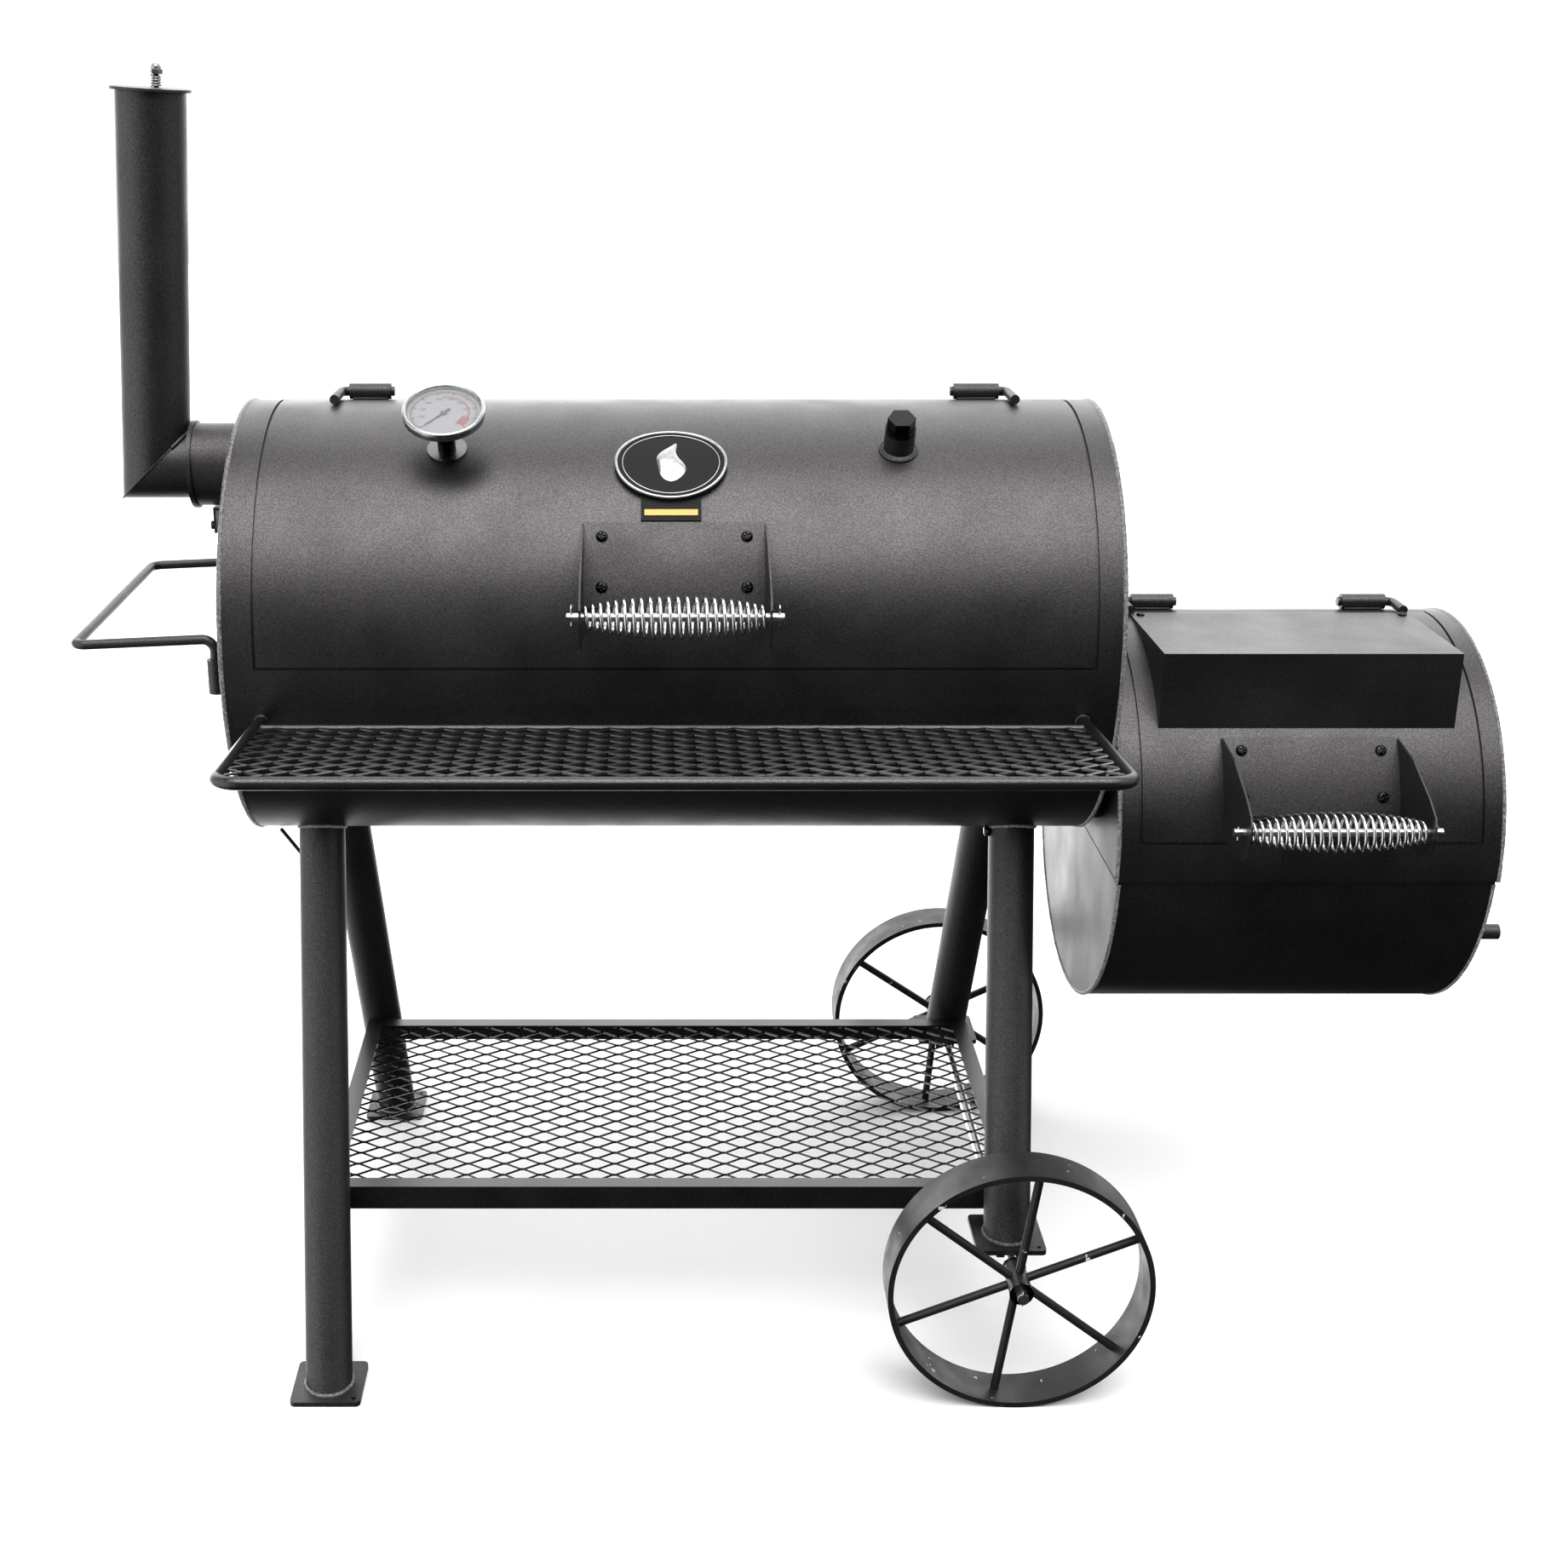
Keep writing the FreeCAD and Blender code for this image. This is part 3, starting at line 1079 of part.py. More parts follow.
def charcoal_grate():
    """Grate that spans the lower half of the firebox."""
    half = chord(LOWER_R - SHEET - REST_GAP, CHARCOAL_DROP)
    return slotted_grate(LOWER_LEFT + 2 * SHEET, LOWER_RIGHT - 2 * SHEET, -half, half,
                         FIREBOX_AXIS_Z - CHARCOAL_DROP, GRATE_SLOT, GRATE_BAR)


def lid(span, radius, bottom_deg, axis_z):
    """Rolled lid, flush with its drum."""
    return drum_sheet(span[0], span[1], radius - SHEET, radius, bottom_deg, LID_REAR_DEG, axis_z)


def warming_top():
    """Folded sheet on the firebox lid: a level top, an upright front and two cheeks."""
    under = FIREBOX_AXIS_Z + FIREBOX_R + WARM_LIFT
    foot = on_drum(0, FIREBOX_R + REST_GAP, WARM_FOOT_DEG, FIREBOX_AXIS_Z)
    low = foot.z - WARM_SHEET
    outside = box(WARM_LEFT, WARM_RIGHT, foot.y, 0, low, under + WARM_SHEET)
    inside = box(WARM_LEFT + WARM_SHEET, WARM_RIGHT - WARM_SHEET, foot.y + WARM_SHEET, 1, low - 1, under)
    lid_body = drum(WARM_LEFT - 1, WARM_RIGHT + 1, FIREBOX_R + REST_GAP, FIREBOX_AXIS_Z)
    hood = outside.cut([inside, lid_body])
    return hood.cut([rod(spot - V(0, 0, 2 * WARM_SHEET), spot, WARM_SCREW_R / 2 + REST_GAP)
                     for spot in warming_screw_places()])


def warming_screw_places():
    """Screws at the rear corners of the warming top."""
    z = FIREBOX_AXIS_Z + FIREBOX_R + WARM_LIFT + WARM_SHEET
    return [V(x, -WARM_SCREW_INSET, z)
            for x in (WARM_LEFT + WARM_SCREW_INSET, WARM_RIGHT - WARM_SCREW_INSET)]


def firebox_screws():
    """Screws of the firebox lid's handle and of its warming top."""
    screws = [screw(base, outward(deg), SCREW_HEAD_R, SCREW_HEAD_H, BRACKET_SHEET)
              for base, deg in screw_places(FIREBOX_MIDDLE_X, FIREBOX_R, FIREBOX_AXIS_Z)]
    screws += [screw(spot, V(0, 0, 1), WARM_SCREW_R, WARM_SCREW_H, WARM_SHEET)
               for spot in warming_screw_places()]
    return group(screws)


# ---- side door -----------------------------------------------------------------------------------
def damper_holes(x0, x1, start_deg):
    """Round air holes on a ring."""
    holes = []
    for index in range(DAMPER_HOLE_COUNT):
        angle = math.radians(start_deg + index * 360 / DAMPER_HOLE_COUNT)
        y = DAMPER_HOLE_RING * math.cos(angle)
        z = DOOR_MID_Z + DAMPER_HOLE_RING * math.sin(angle)
        holes.append(rod(V(x0, y, z), V(x1, y, z), DAMPER_HOLE_R))
    return holes


def side_door():
    """Door sheet with its two knuckles, the damper's stud and the latch's stud."""
    back = DOOR_FACE_X - DOOR_SHEET
    low = DOOR_MID_Z - DOOR_HEIGHT / 2
    high = DOOR_MID_Z + DOOR_HEIGHT / 2
    panel = box(back, DOOR_FACE_X, -DOOR_HALF_Y, DOOR_HALF_Y, low, high)
    panel = panel.cut(damper_holes(back - 1, DOOR_FACE_X + 1, 0))
    pieces = []
    for base in knuckle_bases():
        pieces.append(rod(base, base + V(0, 0, KNUCKLE_H), KNUCKLE_R))
    latch_top = DOOR_FACE_X + SLIDE_GAP + LATCH_BAR_THICK + EMBED
    damper_top = DOOR_FACE_X + SLIDE_GAP + DAMPER_THICK + EMBED
    pieces.append(rod(V(back + EMBED, LATCH_Y, DOOR_MID_Z), V(latch_top, LATCH_Y, DOOR_MID_Z),
                      LATCH_PIN_R))
    pieces.append(rod(V(back + EMBED, 0, DOOR_MID_Z), V(damper_top, 0, DOOR_MID_Z), DAMPER_PIN_R))
    bores = [rod(base - V(0, 0, 1), base + V(0, 0, KNUCKLE_H + 1), KNUCKLE_PIN_R + RUN_GAP)
             for base in knuckle_bases()]
    return joined(panel, pieces).cut(bores)


def knuckle_bases():
    """Foot of each knuckle on the door's hinge line."""
    low = DOOR_MID_Z - DOOR_HEIGHT / 2 + KNUCKLE_INSET
    high = DOOR_MID_Z + DOOR_HEIGHT / 2 - KNUCKLE_INSET - KNUCKLE_H
    return [V(KNUCKLE_X, KNUCKLE_Y, z) for z in (low, high)]


def door_fittings():
    """Hinge posts and latch keeper, welded on the lower end."""
    fittings = []
    for base in knuckle_bases():
        foot = base - V(0, 0, SLIDE_GAP)
        arm = box(LOWER_RIGHT, KNUCKLE_X + KNUCKLE_PIN_R, KNUCKLE_Y - KNUCKLE_PIN_R,
                  KNUCKLE_Y + KNUCKLE_PIN_R, foot.z - KNUCKLE_R, foot.z)
        pin = rod(foot - V(0, 0, EMBED), base + V(0, 0, KNUCKLE_H + KNUCKLE_PIN_R), KNUCKLE_PIN_R)
        fittings.append(joined(arm, [pin]))
    top = DOOR_MID_Z + LATCH_BAR_HALF + SLIDE_GAP
    cheek_x = DOOR_FACE_X + LATCH_BAR_THICK + 2 * SLIDE_GAP
    y0 = KEEPER_Y - KEEPER_WIDTH / 2
    y1 = KEEPER_Y + KEEPER_WIDTH / 2
    shelf = box(LOWER_RIGHT, cheek_x + KEEPER_THICK, y0, y1, top, top + KEEPER_THICK)
    cheek = box(cheek_x, cheek_x + KEEPER_THICK, y0, y1, DOOR_MID_Z, top + EMBED)
    fittings.append(joined(shelf, [cheek]))
    return group(fittings)


def door_latch():
    """Bar that turns on the door and ends in a knob."""
    low = DOOR_FACE_X + SLIDE_GAP
    high = low + LATCH_BAR_THICK
    end_y = LATCH_Y - LATCH_REACH
    bar = box(low, high, end_y, LATCH_Y, DOOR_MID_Z - LATCH_BAR_HALF, DOOR_MID_Z + LATCH_BAR_HALF)
    eye = rod(V(low, LATCH_Y, DOOR_MID_Z), V(high, LATCH_Y, DOOR_MID_Z), 2 * LATCH_BAR_HALF)
    knob = rod(V(low, end_y, DOOR_MID_Z), V(high + LATCH_KNOB_H, end_y, DOOR_MID_Z), LATCH_KNOB_R)
    bore = rod(V(low - 1, LATCH_Y, DOOR_MID_Z), V(high + 1, LATCH_Y, DOOR_MID_Z),
               LATCH_PIN_R + RUN_GAP)
    return joined(bar, [eye, knob]).cut(bore)


def air_damper():
    """Holed disc that turns over the door's holes, with a knob at its rim; shown shut."""
    low = DOOR_FACE_X + SLIDE_GAP
    high = low + DAMPER_THICK
    disc = rod(V(low, 0, DOOR_MID_Z), V(high, 0, DOOR_MID_Z), DAMPER_R)
    knob_z = DOOR_MID_Z + DAMPER_HOLE_RING
    knob = rod(V(high - EMBED, 0, knob_z), V(high + DAMPER_KNOB_H, 0, knob_z), DAMPER_KNOB_R)
    bore = rod(V(low - 1, 0, DOOR_MID_Z), V(high + 1, 0, DOOR_MID_Z), DAMPER_PIN_R + RUN_GAP)
    cut = [bore] + damper_holes(low - 1, high + 1, DAMPER_OPEN_DEG)
    return joined(disc.cut(cut), [knob])


# ---- chamber -------------------------------------------------------------------------------------
def chamber_shell():
    """Sheet of the chamber, open for the main lid."""
    seam_deg = math.degrees(SEAM / CHAMBER_R)
    from_deg = CHAMBER_LID_BOTTOM_DEG - seam_deg
    return lidded_shell(CHAMBER_LEFT + SHEET, CHAMBER_RIGHT - SHEET, CHAMBER_R, CHAMBER_AXIS_Z,
                        CHAMBER_LID_X, CHAMBER_LID_BOTTOM_DEG, from_deg, 360 + from_deg)


def chamber_left_end():
    """End disc with the hole of the stack."""
    disc = drum(CHAMBER_LEFT, CHAMBER_LEFT + SHEET, CHAMBER_R, CHAMBER_AXIS_Z)
    hole = rod(V(CHAMBER_LEFT - 1, 0, STACK_Z), V(CHAMBER_LEFT + SHEET + 1, 0, STACK_Z),
               STACK_R - STACK_WALL)
    return disc.cut(hole)


def chamber_right_end():
    """End disc with the fire opening."""
    disc = drum(CHAMBER_RIGHT - SHEET, CHAMBER_RIGHT, CHAMBER_R, CHAMBER_AXIS_Z)
    return disc.cut(fire_frame(CHAMBER_RIGHT - SHEET - 1, CHAMBER_RIGHT + 1, NECK_WALL))


def grate_ledges():
    """Flat bars along the chamber's wall, front and rear, under the cooking grates."""
    z = CHAMBER_AXIS_Z - GRATE_DROP - SHEET
    wall = chord(CHAMBER_R - SHEET - REST_GAP, CHAMBER_AXIS_Z - z)
    ends = (CHAMBER_LEFT + SHEET + REST_GAP, CHAMBER_RIGHT - SHEET - REST_GAP)
    return group([box(*ends, *sorted((side * wall, side * (wall - LEDGE_WIDTH))), z, z + SHEET)
                  for side in (-1, 1)])


def cooking_grates():
    """Grates side by side on the ledges."""
    z = CHAMBER_AXIS_Z - GRATE_DROP
    half = chord(CHAMBER_R - SHEET, GRATE_DROP) - SHEET
    start = CHAMBER_LEFT + 2 * SHEET
    pitch = (CHAMBER_LENGTH - 4 * SHEET) / GRATE_COUNT
    return group([slotted_grate(start + k * pitch + SLIDE_GAP, start + (k + 1) * pitch - SLIDE_GAP,
                                -half, half, z, GRATE_SLOT, GRATE_BAR)
                  for k in range(GRATE_COUNT)])


def main_lid():
    """Main lid with the holes of its thermometer and its port."""
    sheet = lid(CHAMBER_LID_X, CHAMBER_R, CHAMBER_LID_BOTTOM_DEG, CHAMBER_AXIS_Z)
    holes = []
    for x, radius in ((GAUGE_X, GAUGE_PROBE_R + REST_GAP), (PORT_X, PORT_R - PORT_WALL)):
        seat = lid_seat(x)
        holes.append(rod(seat - outward(FITTING_DEG) * (2 * SHEET), seat + outward(FITTING_DEG),
                         radius))
    return sheet.cut(holes)


# ---- assembly ------------------------------------------------------------------------------------
def build():
    """Every node's shape by its name."""
    chamber = (CHAMBER_R, CHAMBER_AXIS_Z)
    firebox = (FIREBOX_R, FIREBOX_AXIS_Z)
    chamber_spans = hinge_spans(CHAMBER_LID_X, CHAMBER_HINGES)
    firebox_spans = hinge_spans(FIREBOX_LID_X, FIREBOX_HINGES)
    corners = [(left, side) for left in (True, False) for side in (-1, 1)]
    return {
        "chamber_shell": chamber_shell(),
        "chamber_left_end": chamber_left_end(),
        "chamber_right_end": chamber_right_end(),
        "chamber_lid_strips": lid_strips(*chamber, CHAMBER_LID_X, CHAMBER_LID_BOTTOM_DEG),
        "grate_ledges": grate_ledges(),
        "cooking_grates": cooking_grates(),
        "hinge_tubes": group(hinge_tubes(*chamber, chamber_spans)
                             + hinge_tubes(*firebox, firebox_spans)),
        "stack_collar": stack_collar(),
        "stack_pipe": stack_pipe(),
        "stack_bracket": stack_bracket(),
        "stack_cap": stack_cap(),
        "cap_bolt": cap_bolt(),
        "side_handle": side_handle(),
        "side_handle_sockets": side_handle_sockets(),
        "fire_neck": fire_neck(),
        "firebox_upper_shell": firebox_upper_shell(),
        "firebox_lower_shell": firebox_lower_shell(),
        "firebox_ends": firebox_ends(),
        "firebox_lid_strips": lid_strips(*firebox, FIREBOX_LID_X, FIREBOX_LID_BOTTOM_DEG),
        "charcoal_grate": charcoal_grate(),
        "side_door": side_door(),
        "door_fittings": door_fittings(),
        "door_latch": door_latch(),
        "air_damper": air_damper(),
        "legs": group([leg(*corner) for corner in corners]),
        "foot_plates": group([foot_plate(*corner) for corner in corners]),
        "axle": axle(),
        "axle_lugs": group([axle_lug(side) for side in (-1, 1)]),
        "axle_washers": axle_washers(),
        "axle_cotters": axle_cotters(),
        "front_wheel": wheel(-1, SPOKE_PHASES[0]),
        "rear_wheel": wheel(1, SPOKE_PHASES[1]),
        "lower_shelf_frame": lower_shelf_frame(),
        "lower_shelf_mesh": lower_shelf_mesh(),
        "front_shelf_frame": front_shelf_frame(),
        "front_shelf_mesh": front_shelf_mesh(),
        "bucket_hook": bucket_hook(),
        "main_lid": main_lid(),
        "main_hinge_rods": hinge_rods(*chamber, chamber_spans, -HINGE_ARM_REACH),
        "main_handle_bracket": handle_bracket(CHAMBER_HANDLE_X, *chamber),
        "main_handle_screws": group([
            screw(base, outward(deg), SCREW_HEAD_R, SCREW_HEAD_H, BRACKET_SHEET)
            for base, deg in screw_places(CHAMBER_HANDLE_X, *chamber)]),
        "main_handle_rod": handle_rod(CHAMBER_HANDLE_X, *chamber),
        "main_handle_cotters": handle_cotters(CHAMBER_HANDLE_X, *chamber),
        "main_coil_grip": coil_grip(CHAMBER_HANDLE_X, *chamber),
        "badge": badge(),
        "badge_strip": badge_strip(),
        "gauge_case": gauge_case(),
        "gauge_dial": gauge_dial(),
        "gauge_needle": gauge_needle(),
        "gauge_glass": gauge_glass(),
        "port_coupling": port_coupling(),
        "port_plug": port_plug(),
        "firebox_lid": lid(FIREBOX_LID_X, FIREBOX_R, FIREBOX_LID_BOTTOM_DEG, FIREBOX_AXIS_Z),
        "firebox_hinge_rods": hinge_rods(*firebox, firebox_spans, REST_GAP),
        "firebox_handle_bracket": handle_bracket(FIREBOX_MIDDLE_X, *firebox),
        "firebox_screws": firebox_screws(),
        "firebox_handle_rod": handle_rod(FIREBOX_MIDDLE_X, *firebox),
        "firebox_handle_cotters": handle_cotters(FIREBOX_MIDDLE_X, *firebox),
        "firebox_coil_grip": coil_grip(FIREBOX_MIDDLE_X, *firebox),
        "warming_top": warming_top(),
    }


def main():
    """Write one file per node, with the origin under the middle of the whole object."""
    nodes = build()
    boxes = [shape.optimalBoundingBox(False, False) for shape in nodes.values()]
    middle_x = (min(b.XMin for b in boxes) + max(b.XMax for b in boxes)) / 2
    middle_y = (min(b.YMin for b in boxes) + max(b.YMax for b in boxes)) / 2
    shift = V(-middle_x, -middle_y, -min(b.ZMin for b in boxes))
    os.makedirs("parts", exist_ok=True)
    for name, shape in nodes.items():
        shape.translate(shift)
        shape.exportStep(f"parts/{name}.step")
    print("origin moved by", shift)


main()
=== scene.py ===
"""The offset smoker's finish: powder-coated steel, weld beads, wound coil grips, expanded mesh,
screw heads, the thermometer's dial, and the studio round them. Metres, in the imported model's frame."""
import math

import bpy
import numpy as np
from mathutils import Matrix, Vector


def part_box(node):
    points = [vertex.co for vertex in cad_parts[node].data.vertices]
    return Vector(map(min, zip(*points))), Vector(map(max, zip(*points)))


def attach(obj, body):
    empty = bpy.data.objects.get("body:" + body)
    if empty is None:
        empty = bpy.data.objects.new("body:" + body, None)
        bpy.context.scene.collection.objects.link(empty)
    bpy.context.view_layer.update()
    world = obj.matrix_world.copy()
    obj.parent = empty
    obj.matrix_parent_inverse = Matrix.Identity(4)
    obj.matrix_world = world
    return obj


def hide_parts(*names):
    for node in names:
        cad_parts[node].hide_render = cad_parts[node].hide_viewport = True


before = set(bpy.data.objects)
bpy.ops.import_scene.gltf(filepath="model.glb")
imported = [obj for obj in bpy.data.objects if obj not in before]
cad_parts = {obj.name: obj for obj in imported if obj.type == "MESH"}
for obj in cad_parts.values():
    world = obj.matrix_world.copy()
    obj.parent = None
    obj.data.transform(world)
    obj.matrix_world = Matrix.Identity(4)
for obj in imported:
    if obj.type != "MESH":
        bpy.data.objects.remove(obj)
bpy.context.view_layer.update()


# ---- places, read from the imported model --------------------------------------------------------
def middle(node):
    """Centre of a node's box."""
    low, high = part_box(node)
    return np.array([(a + b) / 2 for a, b in zip(low, high)])


LEFT_LOW, LEFT_HIGH = (np.array(c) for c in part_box("chamber_left_end"))
RIGHT_LOW, RIGHT_HIGH = (np.array(c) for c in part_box("chamber_right_end"))
CHAMBER_X0 = LEFT_LOW[0]
CHAMBER_X1 = RIGHT_HIGH[0]
CHAMBER_R = (LEFT_HIGH[2] - LEFT_LOW[2]) / 2
AXIS = np.array([(CHAMBER_X0 + CHAMBER_X1) / 2, (LEFT_LOW[1] + LEFT_HIGH[1]) / 2,
                 (LEFT_LOW[2] + LEFT_HIGH[2]) / 2])
FIRE_LOW, FIRE_HIGH = (np.array(c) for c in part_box("firebox_ends"))
FIREBOX_R = (FIRE_HIGH[1] - FIRE_LOW[1]) / 2
FIREBOX_AXIS = np.array([(FIRE_LOW[0] + FIRE_HIGH[0]) / 2, AXIS[1], FIRE_HIGH[2] - FIREBOX_R])

# ---- sizes of the new pieces, in metres and degrees --------------------------------------------
CAMERA_FROM_AXIS = (-0.0232, -2.422)
CAMERA_HEIGHT = 1.475
CAMERA_DOWN_DEG = 19.39
CAMERA_LENS = 47.64
CAMERA_SENSOR = 36
CAMERA_SHIFT = (0.085, 0.0043)

RIM_BEAD = 0.0030
RIM_INSET = 0.0012
SEAM_BEAD = 0.0026
FINE_BEAD = 0.0017
BEAD_STEP = 0.55             # between a bead's points, in bead radii
PUDDLE_STEP = 2.6            # between the torch's puddles, in bead radii
BEAD_DRIFT = 0.012           # length over which a bead grows or shrinks
SHORT_BEAD_POINTS = 12
SHORT_BEAD_PROUD = 0.0012    # each bead's line lies this far off its sheet
LEG_BEAD_PROUD = 0.0005
PLATE_BEAD_PROUD = 0.0006
COLLAR_BEAD_PROUD = 0.0008
SHELF_BEAD_PROUD = 0.0003
PORT_BEAD_PROUD = 0.001
HINGE_BEAD_END = 0.004       # from a hinge tube's end to its bead's

SPLIT_DEG = 2.44             # of the firebox's halves, below its axis
# height and half width of the painted shadow band along the split of the firebox's ends
SPLIT_Z = 0.5965
SEAM_SHADOW_HALF = 0.0022
FIREBOX_NEST = 0.0033        # the lower half lies this far inside the upper one

HINGE_TUBE_R = 0.00955
HINGE_ROD_R = 0.0058
MAIN_HINGE_SPANS = ((-0.378, -0.329), (0.3335, 0.3867))     # of the tubes, from the barrel's middle
FIREBOX_HINGE_SPANS = ((0.562, 0.613), (0.818, 0.871))
HINGE_BEAD_DEGS = (1.1, 1.15)                               # from a tube's line to its beads
SOCKET_R = 0.0095
SOCKET_BEAD_HALF = 0.0048
SOCKET_BEAD_END = 0.003

LEG_R = 0.02725
LEG_TOP = ((-0.418, 1.0), (0.4104, -1.0))     # from the axis, and the way that the leg leans in
LEG_TOP_HALF_Y = 0.0825
LEG_SPLAY = (0.027, 0.4383)
LEFT_PLATE_TOP = 0.006

GRIP_STANDOFF = 0.088
GRIP_DEG = 14.0
GRIP_WIRE = 0.0019
GRIP_MID_R = 0.0227
GRIP_END_R = 0.0122
GRIP_TURNS = 22
GRIP_STEPS = 36              # points to a turn
GRIP_DRAWN = 0.035           # how far the end turns are drawn together

SCREW_R = 0.0065
SCREW_H = 0.0042
SCREW_DEGS = (33.7, 21.1)
SCREW_HALF_X = 0.0785
CROSS_HALF = 0.13            # of the cross recess, in head radii
CROSS_REACH = 0.62
BRACKET_FACE = 0.0023
WARM_SCREW_R = 0.005
WARM_SCREW_INSET = 0.011

FITTING_DEG = 60.4           # of the thermometer and the port, round the lid
GAUGE_SEAT = 0.0003          # between the lid and the thermometer
PORT_R = 0.0205
DIAL_TOP = 0.0505
DIAL_INK = 0.00012           # height of the printed marks
FIGURE_INK = 0.0002
SCALE_DEGS = (225, -45)
SCALE_TICKS = 55
LONG_TICK_EVERY = 6
LONG_TICK = (0.0315, 1.1)    # inner radius and half width in degrees
SHORT_TICK = (0.0335, 0.55)
SCALE_R = 0.0362
SCALE_LINE = 0.0006
SCALE_FIGURES = 10
FIGURE_R = 0.02451           # to the figures' middles
FIGURE_SIZE = 0.0052
PINK_BAND = (0.0262, 0.0292, -18, 95)         # radii and angles
RED_FIELD = (0.0205, 0.0310, -45, -18)
NECK_EDGES = ((0.0019, 0.0021), (0.0478, 0.0482))   # where the case's blackened neck begins and ends

BADGE_DEG = 54.3
BADGE_HALF = (0.062, 0.049)
BADGE_FACE = 0.0070
BADGE_TRIM = 0.0002          # of the rim and the flame, over the badge's face
FLAME_HALF_WIDTH = 0.0165
FLAME_LOW = -0.027
FLAME_LENGTH = 0.056
FLAME_BEND = 0.006
FLAME_CROWN = 0.0022

STACK_R = 0.0389
STACK_RUN = 0.111
STACK_RISE = 0.1817
STACK_LEAN_DEG = 3.5
STACK_HEIGHT = 0.4143
COLLAR_R = 0.0477
CAP_PIVOT_BACK = 0.029
PINHOLE = 0.0001             # radius that a turned piece's profile keeps from its axis
CAP_STUD_R = 0.003
CAP_SPRING = (0.0052, 0.001, 4)               # radius, its wire's radius, turns
CAP_SPRING_RISE = (0.0049, 0.0115)

MESH_PITCH = (0.045, 0.027)
LOWER_STRAND = (0.0023, 0.0029, 0.7)          # width, thickness, slope of its face
FRONT_STRAND = (0.0024, 0.0017, -0.3)
MESH_BOND = 0.07             # flat where two strands are bonded, as part of the pitch
STRAND_SHORT = 0.002         # between the front strands' ends and the rod's middle line
STRAND_RISE = 0.0015         # of the front strands over the rod's middle line
SHELF_SLOPE_DEG = 4.443
SHELF_DEPTH = 0.232
SHELF_BEND = 0.025
SHELF_ROD_R = 0.007
SHELF_ROD_ROOT = (0.4509, -0.2475, -0.057)    # of each side rod, from the barrel's middle

FLOOR_HALF = 14.0
SKY_DIM = 0.004
# direction of each glow, the cosines between which it grows, and its strength
SKY_GLOWS = (((0, -0.42, 0.91), 0.81, 0.97, 6.2), ((0, 0.9, 0.43), 0.5, 0.85, 2.6),
             ((-0.33, 0.88, -0.33), 0.72, 0.97, 2.6), ((-0.95, -0.3, 0), 0.45, 0.95, 1.5),
             ((0.85, -0.1, 0.52), 0.62, 0.95, 1.1))


# ---- mesh helpers ------------------------------------------------------------------------------
def piece(name, points, faces, material, body, smooth=True):
    """A mesh from an (n, 3) array of points and a list of faces, finished and set on a body."""
    mesh = bpy.data.meshes.new(name)
    mesh.from_pydata(np.asarray(points).reshape(-1, 3).tolist(), [], faces)
    mesh.polygons.foreach_set("use_smooth", np.full(len(mesh.polygons), smooth))
    mesh.update()
    thing = bpy.data.objects.new(name, mesh)
    bpy.context.scene.collection.objects.link(thing)
    mesh.materials.append(material)
    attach(thing, body)
    return thing


def grid_faces(rows, columns, wrap_rows=False, wrap_columns=False):
    """Quads over a rows by columns grid of points, closed on itself where it wraps."""
    r = np.arange(rows if wrap_rows else rows - 1)
    c = np.arange(columns if wrap_columns else columns - 1)
    r, c = (a.ravel() for a in np.meshgrid(r, c, indexing="ij"))
    r1, c1 = (r + 1) % rows, (c + 1) % columns
    quads = np.stack([r * columns + c, r * columns + c1, r1 * columns + c1, r1 * columns + c], 1)
    return quads.tolist()


def unit(vectors):
    """Vectors scaled to length one."""
    vectors = np.asarray(vectors, float)
    return vectors / np.linalg.norm(vectors, axis=-1, keepdims=True)


def circle(count):
    """Angles once round, evenly spaced."""
    return np.linspace(0, 2 * math.pi, count, endpoint=False)


def around(along, turn, hint):
    """Directions square to a unit direction, turned by angles from its cross product with a hint."""
    u = unit(np.cross(along, hint))
    v = np.cross(along, u)
    turn = np.asarray(turn)[..., None]
    return u * np.cos(turn) + v * np.sin(turn)


def wire(path, radius, side, sides=10, closed=False):
    """Round wire along a path: each point of the path carries a circle of the given radius,
    in the plane of a side direction and the tangent's cross product with it."""
    path = np.asarray(path, float)
    if closed:
        tangent = unit(np.roll(path, -1, 0) - np.roll(path, 1, 0))
    else:
        tangent = unit(np.gradient(path, axis=0))
    across = unit(np.cross(tangent, np.broadcast_to(side, path.shape)))
    up = np.cross(across, tangent)
    turn = circle(sides)[:, None]
    radius = np.broadcast_to(radius, len(path))[:, None, None]
    ring = across[:, None] * np.cos(turn) + up[:, None] * np.sin(turn)
    points = (path[:, None] + radius * ring).reshape(-1, 3)
    faces = [face[::-1] for face in grid_faces(len(path), sides, closed, True)]
    if not closed:
        faces.append(list(range(sides)))
        faces.append(list(range(len(points) - 1, len(points) - sides - 1, -1)))
    return points, faces


def merged(parts):
    """Several (points, faces) meshes as one."""
    points, faces, start = [], [], 0
    for some_points, some_faces in parts:
        points.append(np.asarray(some_points).reshape(-1, 3))
        faces += [[index + start for index in face] for face in some_faces]
        start += len(points[-1])
    return np.concatenate(points), faces


